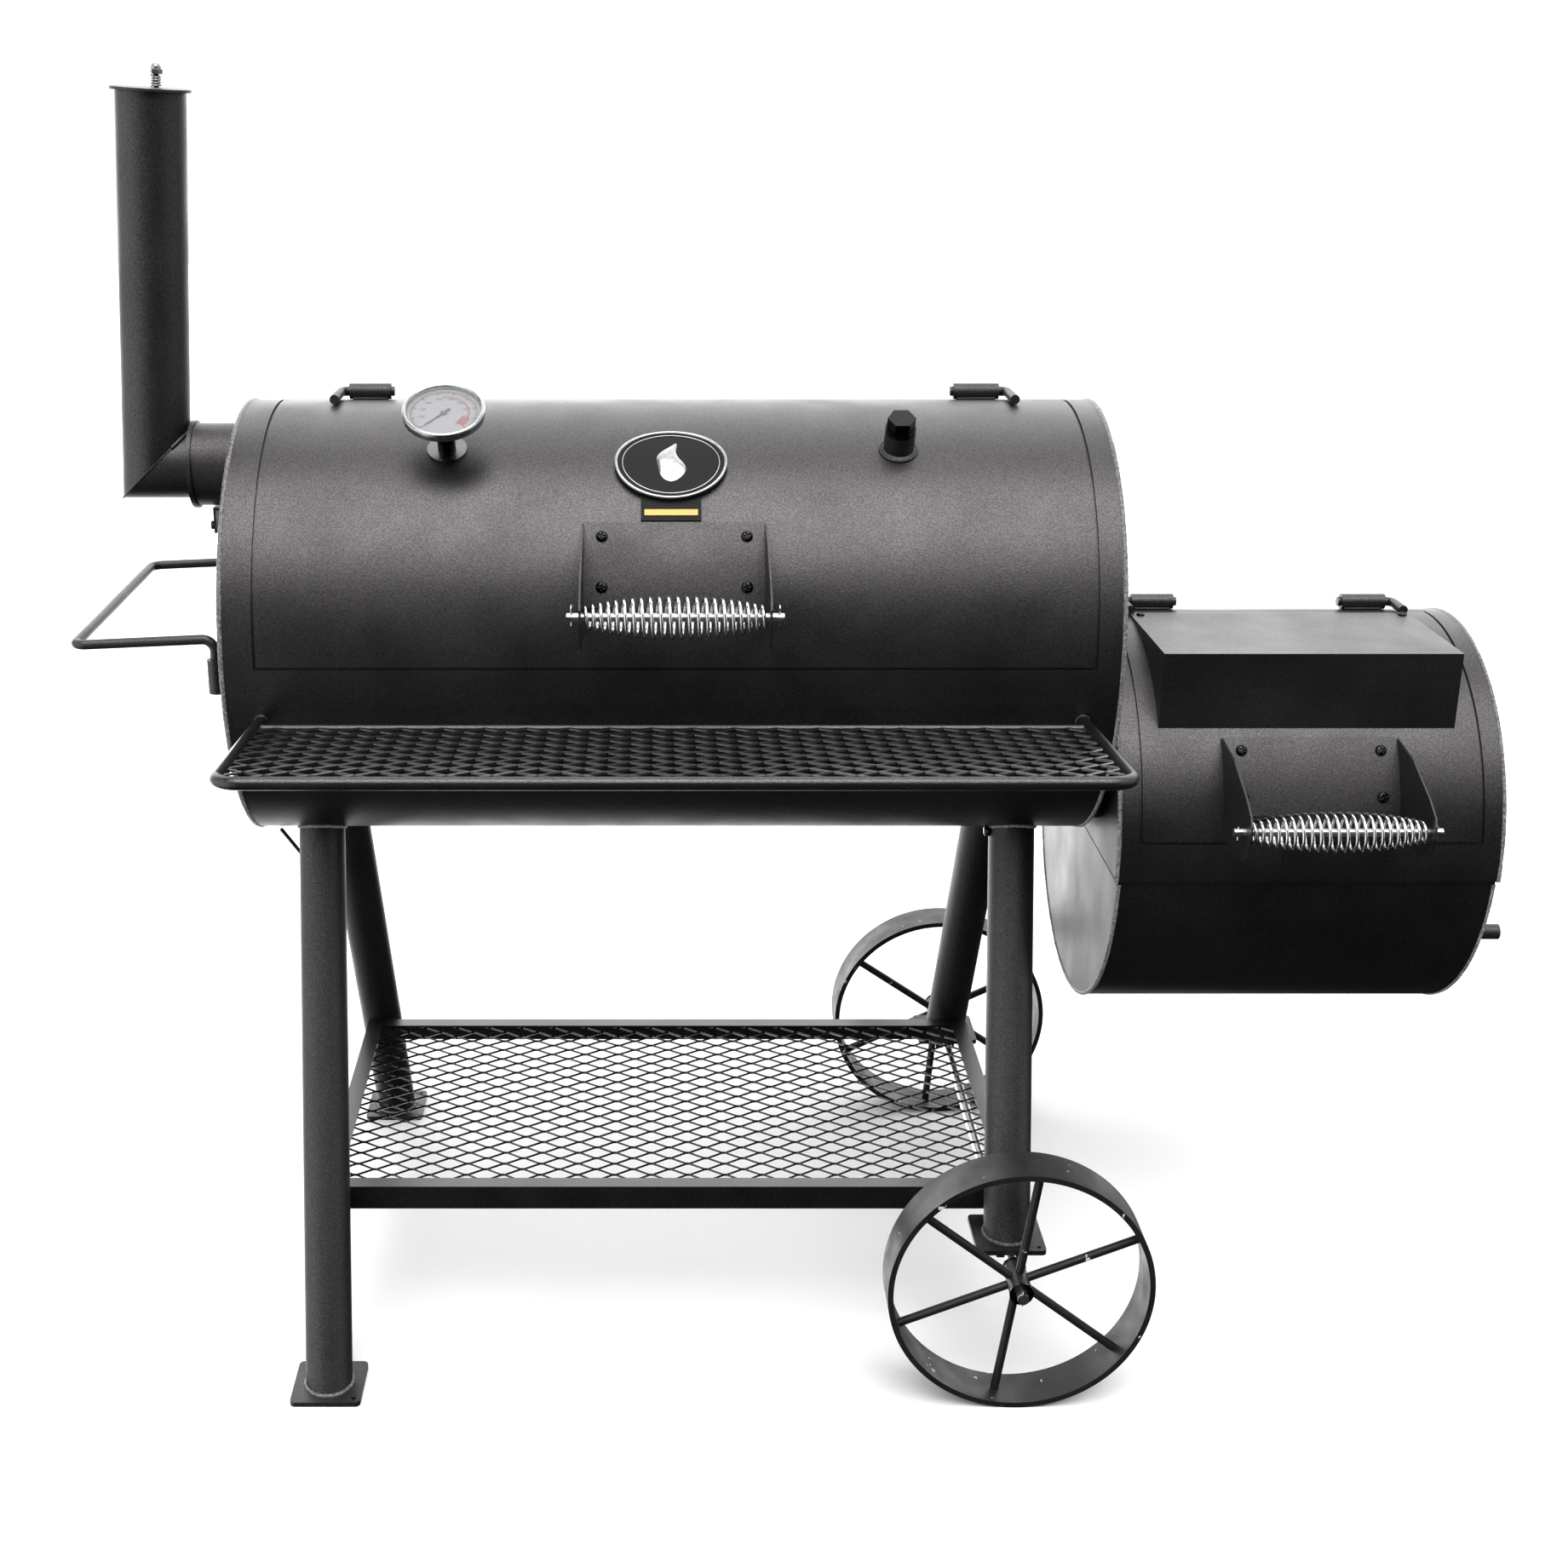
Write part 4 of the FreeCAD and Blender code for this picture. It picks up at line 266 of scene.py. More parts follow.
def weld(path, side, radius, seed, closed=True):
    """Weld bead along a path: a wire whose radius swells with the sine of each puddle of the torch
    and drifts slowly at random, and whose line wanders by a fiftieth of its radius."""
    path = np.asarray(path, float)
    steps = np.linalg.norm(np.diff(path, axis=0, append=path[:1] if closed else path[-1:]), axis=1)
    length = max(steps.sum(), 1e-6)
    count = max(int(length / (radius * BEAD_STEP)), 12)
    along = np.concatenate([[0], np.cumsum(steps)])[:len(path) + (1 if closed else 0)]
    whole = np.vstack([path, path[:1]]) if closed else path
    at = np.linspace(0, along[-1], count, endpoint=not closed)
    fine = np.stack([np.interp(at, along, whole[:, k]) for k in range(3)], 1)
    rng = np.random.default_rng(seed)
    knots = rng.normal(0, 1, max(int(length / BEAD_DRIFT), 4))
    slow = np.interp(np.linspace(0, len(knots), count), np.arange(len(knots)), knots)
    puddle = np.abs(np.sin(at / (radius * PUDDLE_STEP) * math.pi + slow * 0.6))
    swell = radius * (0.9 + 0.12 * puddle + 0.05 * slow)
    jitter = rng.normal(0, 0.02 * radius, fine.shape)
    return wire(fine + jitter, swell, side, 8, closed)


def on_drum(x, radius, degrees, axis):
    """Points at a radius and an angle round a drum, counted from its front over its top."""
    angle = np.radians(degrees)
    x, angle, radius = np.broadcast_arrays(x, angle, radius)
    return np.stack([x, axis[1] - radius * np.cos(angle), axis[2] + radius * np.sin(angle)], -1)


def outward(degrees):
    """Direction away from a drum's axis."""
    return np.array([0, -math.cos(math.radians(degrees)), math.sin(math.radians(degrees))])


def saddle(point, along, radius, axis, drum_r, count=96):
    """Closed line where a round tube meets a drum: each of the tube's straight lines is carried
    to where its distance from the drum's axis equals the drum's radius, on the near side."""
    along = unit(along)
    start = np.asarray(point) + radius * around(along, circle(count), [0.3, 0.5, 0.81])
    flat = start[:, 1:] - axis[1:]
    way = along[1:]
    a = way @ way
    b = flat @ way
    c = (flat ** 2).sum(1) - drum_r ** 2
    root = np.sqrt(np.maximum(b * b - a * c, 0))
    reach = (-b + root) / a
    other = (-b - root) / a
    nearest = np.where(np.abs(reach) < np.abs(other), reach, other)
    return start + nearest[:, None] * along


# ---- finishes ----------------------------------------------------------------------------------
class Finish:
    """A material's nodes over object coordinates, with short calls for the ones used here."""

    def __init__(self, name, color, roughness, metallic=0.0):
        self.material = bpy.data.materials.new(name)
        self.material.use_nodes = True
        self.tree = self.material.node_tree
        self.shader = next(n for n in self.tree.nodes if n.type == "BSDF_PRINCIPLED")
        self.shader.inputs["Base Color"].default_value = (*color, 1)
        self.shader.inputs["Roughness"].default_value = roughness
        self.shader.inputs["Metallic"].default_value = metallic
        self.place = self.tree.nodes.new("ShaderNodeTexCoord").outputs["Object"]

    def join(self, source, target):
        """Links one socket to another."""
        self.tree.links.new(source, target)

    def noise(self, scale, detail=4.0, stretch=None):
        """Noise of a number of features per metre, drawn out along an axis if asked."""
        place = self.place
        if stretch:
            mapping = self.tree.nodes.new("ShaderNodeMapping")
            mapping.inputs["Scale"].default_value = stretch
            self.join(place, mapping.inputs["Vector"])
            place = mapping.outputs["Vector"]
        node = self.tree.nodes.new("ShaderNodeTexNoise")
        node.inputs["Scale"].default_value = scale
        node.inputs["Detail"].default_value = detail
        self.join(place, node.inputs["Vector"])
        return node.outputs["Fac"]

    def between(self, value, low, high, start=0.3, end=0.7):
        """A value spread over a range."""
        node = self.tree.nodes.new("ShaderNodeMapRange")
        node.inputs["From Min"].default_value = start
        node.inputs["From Max"].default_value = end
        node.inputs["To Min"].default_value = low
        node.inputs["To Max"].default_value = high
        self.join(value, node.inputs["Value"])
        return node.outputs["Result"]

    def colors(self, value, stops):
        """Colours along a value, from (place, colour) stops."""
        node = self.tree.nodes.new("ShaderNodeValToRGB")
        ramp = node.color_ramp
        while len(ramp.elements) < len(stops):
            ramp.elements.new(0.5)
        for element, (place, color) in zip(ramp.elements, stops):
            element.position = place
            element.color = (*color, 1)
        self.join(value, node.inputs["Fac"])
        return node.outputs["Color"]

    def mixed(self, factor, first, second):
        """Two colours mixed by a factor."""
        node = self.tree.nodes.new("ShaderNodeMix")
        node.data_type = "RGBA"
        self.join(factor, node.inputs["Factor"])
        self.join(first, node.inputs["A"])
        self.join(second, node.inputs["B"])
        return node.outputs["Result"]

    def paint(self, color):
        """Sets the colour from a socket."""
        self.join(color, self.shader.inputs["Base Color"])

    def gloss(self, value):
        """Sets the roughness from a socket."""
        self.join(value, self.shader.inputs["Roughness"])

    def relief(self, height, distance, strength):
        """Bump of a height in metres."""
        node = self.tree.nodes.new("ShaderNodeBump")
        node.inputs["Distance"].default_value = distance
        node.inputs["Strength"].default_value = strength
        self.join(height, node.inputs["Height"])
        self.join(node.outputs["Normal"], self.shader.inputs["Normal"])


def powder_coat(name, dark, light, rough=(0.36, 0.46), cloud=4.0, grain=0.5):
    """Satin powder coat: broad clouds of two blacks, a fine orange-peel grain that shows in its
    relief, its colour and its sheen, and a roughness that drifts over a hand's width."""
    finish = Finish(name, dark, rough[0])
    clouds = finish.noise(cloud, 6)
    grains = finish.noise(620, 3)
    base = finish.colors(clouds, [(0.36, dark), (0.66, light)])
    pale = finish.colors(grains, [(0.35, dark), (0.8, tuple(c * 1.9 for c in light))])
    finish.paint(finish.mixed(finish.between(grains, 0.0, 0.55, 0.45, 0.75), base, pale))
    finish.gloss(finish.between(finish.noise(14, 4), *rough))
    finish.relief(grains, 0.00035, grain)
    finish.join(finish.between(grains, 0.55, 1.0, 0.4, 0.65),
                finish.shader.inputs["Specular IOR Level"])
    finish.shader.inputs["Specular Tint"].default_value = (1.0, 0.95, 0.98, 1.0)
    return finish.material


def paint_seam_shadow(material, height, half):
    """Painted shadow: darkens and dulls a coat in a band along a level seam, standing in for the shade
    in the gap where two sheets meet.
    """
    tree = material.node_tree
    shader = next(n for n in tree.nodes if n.type == "BSDF_PRINCIPLED")
    split = tree.nodes.new("ShaderNodeSeparateXYZ")
    tree.links.new(tree.nodes.new("ShaderNodeTexCoord").outputs["Object"], split.inputs["Vector"])
    near = tree.nodes.new("ShaderNodeMath")
    near.operation = "COMPARE"
    near.inputs[1].default_value = height
    near.inputs[2].default_value = half
    tree.links.new(split.outputs["Z"], near.inputs[0])
    # inside the band the coat loses its sheen and turns fully rough, so it reads as painted shade
    for name, value in (("Specular IOR Level", 0.0), ("Roughness", 1.0)):
        shade = tree.nodes.new("ShaderNodeMix")
        shade.data_type = "FLOAT"
        shade.inputs["B"].default_value = value
        tree.links.new(near.outputs["Value"], shade.inputs["Factor"])
        tree.links.new(shader.inputs[name].links[0].from_socket, shade.inputs["A"])
        tree.links.new(shade.outputs["Result"], shader.inputs[name])


def scuffed_coat(name, dark, light):
    """Powder coat of a wheel, rubbed down to pale metal in small patches."""
    finish = Finish(name, dark, 0.5)
    clouds = finish.noise(9, 5)
    coat = finish.colors(clouds, [(0.35, dark), (0.7, light)])
    bare = finish.colors(finish.noise(40, 3), [(0.3, (0.3, 0.29, 0.29)), (0.7, (0.5, 0.49, 0.48))])
    chips = finish.between(finish.noise(75, 6), 0.0, 1.0, 0.685, 0.70)
    finish.paint(finish.mixed(chips, coat, bare))
    finish.gloss(finish.between(finish.noise(30, 4), 0.42, 0.6))
    finish.relief(finish.noise(500, 3), 0.0003, 0.4)
    return finish.material


def plated(name, color, rough, streak=None):
    """Plated metal with faint streaks of wear."""
    finish = Finish(name, color, rough[0], 1.0)
    marks = finish.noise(180, 4, streak)
    finish.gloss(finish.between(marks, *rough))
    finish.paint(finish.colors(marks, [(0.3, tuple(c * 0.82 for c in color)), (0.7, color)]))
    finish.relief(marks, 0.00008, 0.25)
    return finish.material


def plain(name, color, rough, spread=0.06, scale=60, shine=0.5):
    """Even paint or enamel with slight unevenness."""
    finish = Finish(name, color, rough)
    drift = finish.noise(scale, 3)
    finish.paint(finish.colors(drift, [(0.3, tuple(c * (1 - spread) for c in color)), (0.7, color)]))
    finish.gloss(finish.between(drift, rough, min(rough + 0.08, 1.0)))
    finish.shader.inputs["Specular IOR Level"].default_value = shine
    return finish.material


def weld_metal_pale_highlight():
    """Coated weld: rougher than the sheet, with fine ripples, and paler, its pale greys a painted
    highlight that stands in for the light caught along the rounded bead.
    """
    finish = Finish("coated_weld_painted_highlight", (0.14, 0.135, 0.14), 0.38)
    ripple = finish.noise(330, 5)
    # the pale greys over the ripples are a painted highlight of the bead
    finish.paint(finish.colors(ripple, [(0.32, (0.045, 0.043, 0.045)), (0.55, (0.13, 0.125, 0.13)),
                                        (0.75, (0.26, 0.25, 0.26))]))
    finish.gloss(finish.between(ripple, 0.3, 0.5))
    finish.relief(ripple, 0.0006, 0.7)
    return finish.material


def window_glass():
    """Clear thin glass."""
    finish = Finish("window_glass", (0.95, 0.97, 0.98), 0.03)
    finish.shader.inputs["Alpha"].default_value = 0.06
    finish.shader.inputs["Specular IOR Level"].default_value = 0.25
    finish.shader.inputs["IOR"].default_value = 1.45
    finish.gloss(finish.between(finish.noise(25, 2), 0.02, 0.06))
    return finish.material


BARREL_BLACKS = ((0.0020, 0.0018, 0.0020), (0.0040, 0.0036, 0.0039))
COAT = powder_coat("barrel_coat", *BARREL_BLACKS)
ENDS_COAT_SEAM_SHADOW = powder_coat("firebox_end_coat_seam_shadow", *BARREL_BLACKS)
# painted shadow: a dark, dull band along the split of the firebox's ends
paint_seam_shadow(ENDS_COAT_SEAM_SHADOW, SPLIT_Z, SEAM_SHADOW_HALF)
TUBE_COAT = powder_coat("tube_coat", (0.0026, 0.0023, 0.0025), (0.0050, 0.0045, 0.0048),
                        (0.42, 0.54), 9.0)
SHELF_COAT = powder_coat("shelf_coat", (0.0024, 0.0022, 0.0024), (0.0046, 0.0042, 0.0045),
                         (0.28, 0.38), 20.0)
STRAND_COAT = powder_coat("strand_coat", (0.0040, 0.0036, 0.0039), (0.0080, 0.0072, 0.0077),
                          (0.16, 0.26), 20.0, 0.15)
WHEEL_COAT = scuffed_coat("wheel_coat", (0.0030, 0.0027, 0.0029), (0.0060, 0.0054, 0.0057))
# weld beads far paler than the coat round them: a painted highlight
WELD_PAINTED_HIGHLIGHT = weld_metal_pale_highlight()
CHROME = plated("grip_chrome", (0.86, 0.86, 0.88), (0.08, 0.2))
ZINC = plated("zinc_steel", (0.66, 0.66, 0.68), (0.22, 0.38))
BLACK_ZINC = plated("black_zinc", (0.035, 0.033, 0.035), (0.2, 0.32))
BEZEL = plated("bezel_steel", (0.48, 0.48, 0.49), (0.18, 0.3))
NUT_STEEL = plated("nut_steel", (0.36, 0.35, 0.36), (0.2, 0.32))
BRASS = plated("brass_strip", (0.30, 0.19, 0.065), (0.3, 0.42), (1, 40, 40))
IRON = powder_coat("grate_iron", (0.035, 0.033, 0.031), (0.07, 0.066, 0.062), (0.5, 0.7), 30.0, 0.8)
DIAL_WHITE = plain("dial_white", (0.20, 0.20, 0.21), 0.5)
DIAL_BLACK = plain("dial_black", (0.008, 0.008, 0.009), 0.5)
DIAL_RED = plain("dial_red", (0.20, 0.010, 0.010), 0.5)
DIAL_PINK = plain("dial_pink", (0.20, 0.09, 0.095), 0.5)
BADGE_BLACK = plain("badge_black", (0.006, 0.0055, 0.006), 0.55, 0.2, 200, 0.18)
BADGE_SILVER = plated("badge_silver", (0.46, 0.46, 0.47), (0.25, 0.4))
GLASS = window_glass()

# ---- CAD nodes keep their shape and get a finish -----------------------------------------------
NODE_FINISHES = {
    COAT: ("chamber_shell", "chamber_left_end", "chamber_right_end", "chamber_lid_strips", "main_lid",
           "firebox_upper_shell", "firebox_lower_shell", "firebox_lid_strips",
           "firebox_lid", "warming_top", "side_door", "fire_neck", "air_damper"),
    TUBE_COAT: ("legs", "foot_plates", "stack_pipe", "stack_collar", "stack_cap", "stack_bracket",
                "side_handle", "side_handle_sockets", "hinge_tubes", "main_hinge_rods",
                "firebox_hinge_rods", "grate_ledges", "door_fittings", "door_latch", "bucket_hook",
                "port_coupling", "main_handle_bracket", "firebox_handle_bracket", "axle_lugs"),
    ENDS_COAT_SEAM_SHADOW: ("firebox_ends",),
    SHELF_COAT: ("lower_shelf_frame", "front_shelf_frame"),
    WHEEL_COAT: ("front_wheel", "rear_wheel"),
    ZINC: ("main_handle_rod", "firebox_handle_rod", "axle"),
    CHROME: ("main_handle_cotters", "firebox_handle_cotters", "axle_cotters"),
    BLACK_ZINC: ("axle_washers", "port_plug"),
    IRON: ("cooking_grates", "charcoal_grate"),
    BRASS: ("badge_strip",),
    DIAL_WHITE: ("gauge_dial",),
    DIAL_BLACK: ("gauge_needle",),
    GLASS: ("gauge_glass",),
    BADGE_BLACK: ("badge",),
}


def finish_nodes():
    """Gives each node that shows its finish."""
    for material, names in NODE_FINISHES.items():
        for name in names:
            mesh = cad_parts[name].data
            mesh.materials.clear()
            mesh.materials.append(material)


# ---- welds -------------------------------------------------------------------------------------
def ring_on_drum(x, radius, axis, low_deg=0.0, high_deg=360.0):
    """Arc or circle round a drum at one place along it."""
    whole = high_deg - low_deg >= 360
    degrees = np.linspace(low_deg, high_deg, 300, endpoint=not whole)
    return on_drum(x, radius, degrees, axis)


def drum_rim_welds():
    """Beads round both ends of the chamber and of each half of the firebox."""
    along = (1, 0, 0)
    chamber = [weld(ring_on_drum(x, CHAMBER_R - RIM_INSET, AXIS), along, RIM_BEAD, seed)
               for seed, x in enumerate((CHAMBER_X0 + RIM_INSET, CHAMBER_X1 - RIM_INSET))]
    piece("chamber_rim_welds", *merged(chamber), WELD_PAINTED_HIGHLIGHT, "frame")
    upper = [weld(ring_on_drum(x, FIREBOX_R - RIM_INSET, FIREBOX_AXIS, -SPLIT_DEG, 180 + SPLIT_DEG),
                  along, SEAM_BEAD, seed + 5, closed=False)
             for seed, x in enumerate((FIRE_LOW[0] + RIM_INSET, FIRE_HIGH[0] - RIM_INSET))]
    inset = FIREBOX_NEST + RIM_INSET
    lower = [weld(ring_on_drum(x, FIREBOX_R - inset, FIREBOX_AXIS, 180 + 1.5 * SPLIT_DEG,
                               360 - 1.5 * SPLIT_DEG), along, SEAM_BEAD, seed + 9, closed=False)
             for seed, x in enumerate((FIRE_LOW[0] + inset, FIRE_HIGH[0] - inset))]
    piece("firebox_rim_welds", *merged(upper + lower), WELD_PAINTED_HIGHLIGHT, "frame")


def leg_lines():
    """Top point and downward direction of each leg's centre line."""
    lines = []
    for top_x, lean in LEG_TOP:
        for side in (-1, 1):
            drop = math.sqrt(CHAMBER_R ** 2 - LEG_TOP_HALF_Y ** 2)
            top = AXIS + np.array([top_x, side * LEG_TOP_HALF_Y, -drop])
            down = np.array([lean * LEG_SPLAY[0], side * LEG_SPLAY[1], -1.0])
            lines.append((top, down))
    return lines


def leg_welds():
    """Beads where each leg meets the barrel above and its plate below, the lower ring slid along
    the leg until it lies level."""
    beads = []
    right_plate_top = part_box("foot_plates")[1][2]
    for number, (top, down) in enumerate(leg_lines()):
        along = unit(down)
        ring = saddle(top, along, LEG_R, AXIS, CHAMBER_R + LEG_BEAD_PROUD)
        beads.append(weld(ring, along, SEAM_BEAD, 20 + number))
        floor = LEFT_PLATE_TOP if number < 2 else right_plate_top
        reach = (top[2] - floor) / -down[2]
        foot = top + down * reach + LEG_R * around(along, circle(96), [1, 0, 0])
        foot += (floor + PLATE_BEAD_PROUD - foot[:, 2:3]) / along[2] * along
        beads.append(weld(foot, (0, 0, 1), SEAM_BEAD, 30 + number))
    piece("leg_welds", *merged(beads), WELD_PAINTED_HIGHLIGHT, "frame")


def stack_frame():
    """Corner of the stack's elbow and the direction of its upright pipe."""
    lean = math.radians(STACK_LEAN_DEG)
    corner = np.array([CHAMBER_X0 - STACK_RUN, AXIS[1], AXIS[2] + STACK_RISE])
    return corner, np.array([math.sin(lean), 0, math.cos(lean)])


def stack_welds():
    """Beads round the collar's root and along the elbow's mitre, which is the run's circle slid
    along it to the plane that halves the elbow, with a heavier bead over the inner corner."""
    turn = circle(120)
    corner, up = stack_frame()
    root = np.stack([np.full_like(turn, CHAMBER_X0 - COLLAR_BEAD_PROUD),
                     AXIS[1] + COLLAR_R * np.cos(turn), corner[2] + COLLAR_R * np.sin(turn)], 1)
    outwards = np.array([-1.0, 0, 0])
    across = unit(outwards + up)
    line = corner + np.stack([0 * turn, STACK_R * np.cos(turn), STACK_R * np.sin(turn)], 1)
    shift = -((line - corner) @ across) / -across[0]
    mitre = line + shift[:, None] * outwards
    beads = [weld(root, (1, 0, 0), FINE_BEAD, 41), weld(mitre, across, FINE_BEAD * 0.7, 42)]
    upper = mitre[turn < math.pi]
    inner = upper[upper[:, 2] > corner[2] + STACK_R * 0.55]
    beads.append(weld(inner + [0.001, 0, 0.001], across, SEAM_BEAD, 43, closed=False))
    piece("stack_welds", *merged(beads), TUBE_COAT, "frame")


def hinge_deg(drum_r):
    """Angle of a lid's hinge line, whose tubes lie on the drum and whose rods pass over its crest."""
    return 180 - math.degrees(math.asin((drum_r + HINGE_ROD_R) / (drum_r + HINGE_TUBE_R)))


def small_welds():
    """Short straight beads on both sides of the hinge tubes and of the side handle's sockets, and a
    ring round each rod of the front shelf."""
    beads = []
    hinges = ((MAIN_HINGE_SPANS, CHAMBER_R, AXIS, HINGE_BEAD_DEGS[0], 50),
              (FIREBOX_HINGE_SPANS, FIREBOX_R, FIREBOX_AXIS, HINGE_BEAD_DEGS[1], 60))
    for spans, radius, axis, foot_deg, seed in hinges:
        for number, (low_x, high_x) in enumerate(spans):
            for side in (-1, 1):
                x = AXIS[0] + np.linspace(low_x + HINGE_BEAD_END, high_x - HINGE_BEAD_END,
                                          SHORT_BEAD_POINTS)
                line = on_drum(x, radius + SHORT_BEAD_PROUD, hinge_deg(radius) + side * foot_deg, axis)
                beads.append(weld(line, (0, 0, 1), FINE_BEAD, seed + number * 2 + side, closed=False))
    low, high = (np.array(c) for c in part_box("side_handle_sockets"))
    z = np.linspace(low[2] + SOCKET_BEAD_END, high[2] - SOCKET_BEAD_END, SHORT_BEAD_POINTS)
    x = np.full_like(z, CHAMBER_X0 - SHORT_BEAD_PROUD)
    for number, middle_y in enumerate((low[1] + SOCKET_R, high[1] - SOCKET_R)):
        for side in (-1, 1):
            line = np.stack([x, np.full_like(z, middle_y + side * SOCKET_BEAD_HALF), z], 1)
            beads.append(weld(line, (1, 0, 0), FINE_BEAD, 70 + number * 2 + side, closed=False))
    slope = math.radians(SHELF_SLOPE_DEG)
    back = np.array([0, math.cos(slope), -math.sin(slope)])
    for number, side in enumerate((-1, 1)):
        point = AXIS + np.array(SHELF_ROD_ROOT) * [side, 1, 1]
        ring = saddle(point, back, SHELF_ROD_R, AXIS, CHAMBER_R + SHELF_BEAD_PROUD, 40)
        beads.append(weld(ring, back, FINE_BEAD, 80 + number))
    piece("small_welds", *merged(beads), TUBE_COAT, "frame")


def port_welds():
    """Bead round the plugged port's foot on the lid."""
    x = middle("port_coupling")[0]
    seat = on_drum(x, CHAMBER_R, FITTING_DEG, AXIS)
    ring = saddle(seat, outward(FITTING_DEG), PORT_R, AXIS, CHAMBER_R + PORT_BEAD_PROUD, 80)
    piece("port_weld", *weld(ring, outward(FITTING_DEG), FINE_BEAD, 90), TUBE_COAT, "main_lid")


# ---- handles -----------------------------------------------------------------------------------
def coil_grip(name, node, axis, radius, body):
    """Wound grip: a helix whose radius swells as one less the square of the way along it, with its
    last turns drawn together by a sine."""
    low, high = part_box(node)
    half = (high[0] - low[0]) / 2 - GRIP_WIRE
    centre = on_drum((low[0] + high[0]) / 2, radius + GRIP_STANDOFF, GRIP_DEG, axis)
    s = np.linspace(-1, 1, GRIP_TURNS * GRIP_STEPS)
    x = half * (s + GRIP_DRAWN * np.sin(math.pi * s))
    reach = GRIP_END_R - GRIP_WIRE + (GRIP_MID_R - GRIP_END_R) * (1 - s ** 2)
    turn = GRIP_TURNS * math.pi * s
    radial = np.stack([0 * s, np.cos(turn), np.sin(turn)], 1)
    path = centre + np.stack([x, 0 * s, 0 * s], 1) + reach[:, None] * radial
    grip = piece(name, *wire(path, GRIP_WIRE, radial, 10), CHROME, body)
    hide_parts(node)


def pan_head(base, along, radius, height, turned):
    """Round screw head with a cross recess: a polar grid whose height is a flat-topped dome, less a
    cross that is deepest at its middle."""
    rings, sides = 22, 56
    rho = np.linspace(0, 1, rings)[:, None]
    phi = circle(sides)[None]
    dome = height * np.sqrt(np.clip(1 - rho ** 3.2, 0, 1))
    u, v = rho * np.cos(phi + turned), rho * np.sin(phi + turned)
    bar = np.minimum(np.abs(u), np.abs(v))
    cross = np.clip((CROSS_HALF - bar) / 0.07, 0, 1) * np.clip((CROSS_REACH - rho) / 0.15, 0, 1)
    lift = dome - cross * height * 0.5
    along = unit(along)
    side = np.array([1.0, 0, 0])
    other = np.cross(along, side)
    points = (np.asarray(base) + radius * rho[..., None] * (np.cos(phi)[..., None] * side
              + np.sin(phi)[..., None] * other) + lift[..., None] * along)
    faces = [face[::-1] for face in grid_faces(rings, sides, False, True)]
    faces.append([(rings - 1) * sides + k for k in range(sides)][::-1])
    return points.reshape(-1, 3), faces


def handle_screws(name, node, axis, radius, x, body, extra=()):
    """The four screws of a handle bracket, and any others that share their node."""
    heads = []
    for side in (-1, 1):
        for deg in SCREW_DEGS:
            base = on_drum(x + side * SCREW_HALF_X, radius + BRACKET_FACE, deg, axis)
            heads.append(pan_head(base, outward(deg), SCREW_R, SCREW_H, side * 0.5 + deg))
    heads += [pan_head(base, (0, 0, 1), WARM_SCREW_R, SCREW_H * 0.8, 0.4) for base in extra]
    screws = piece(name, *merged(heads), BLACK_ZINC, body)
    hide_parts(node)


# ---- thermometer -------------------------------------------------------------------------------
def gauge_point(u, v, height):
    """Points on the thermometer's face: u along the barrel, v towards its crest, height off the lid."""
    x = middle("gauge_dial")[0]
    seat = on_drum(x, CHAMBER_R + GAUGE_SEAT, FITTING_DEG, AXIS)
    out = outward(FITTING_DEG)
    crestward = np.cross(out, [1.0, 0, 0])
    u, v, height = np.broadcast_arrays(u, v, height)
    return (seat + u[..., None] * np.array([1.0, 0, 0]) + v[..., None] * crestward
            + height[..., None] * out)


def dial_band(r_in, r_out, from_deg, to_deg, height, count):
    """Flat band of the dial between two radii and two angles."""
    turn = np.radians(np.linspace(from_deg, to_deg, count))
    radius = np.array([r_in, r_out])[:, None]
    points = gauge_point(radius * np.cos(turn), radius * np.sin(turn), height)
    return points.reshape(-1, 3), [face[::-1] for face in grid_faces(2, count)]


def dial_marks():
    """Scale of ticks inside a thin ring, and the two coloured bands beside it."""
    top = DIAL_TOP + DIAL_INK
    ticks = []
    for number, degrees in enumerate(np.linspace(*SCALE_DEGS, SCALE_TICKS)):
        inner, half = SHORT_TICK if number % LONG_TICK_EVERY else LONG_TICK
        ticks.append(dial_band(inner, SCALE_R, degrees - half, degrees + half, top, 3))
    ticks.append(dial_band(SCALE_R, SCALE_R + SCALE_LINE, SCALE_DEGS[1] - 2, SCALE_DEGS[0] + 2,
                           top, 160))
    piece("dial_ticks", *merged(ticks), DIAL_BLACK, "main_lid", smooth=False)
    piece("dial_pink_band", *dial_band(*PINK_BAND, top, 80), DIAL_PINK, "main_lid", smooth=False)
    piece("dial_red_field", *dial_band(*RED_FIELD, top, 24), DIAL_RED, "main_lid", smooth=False)


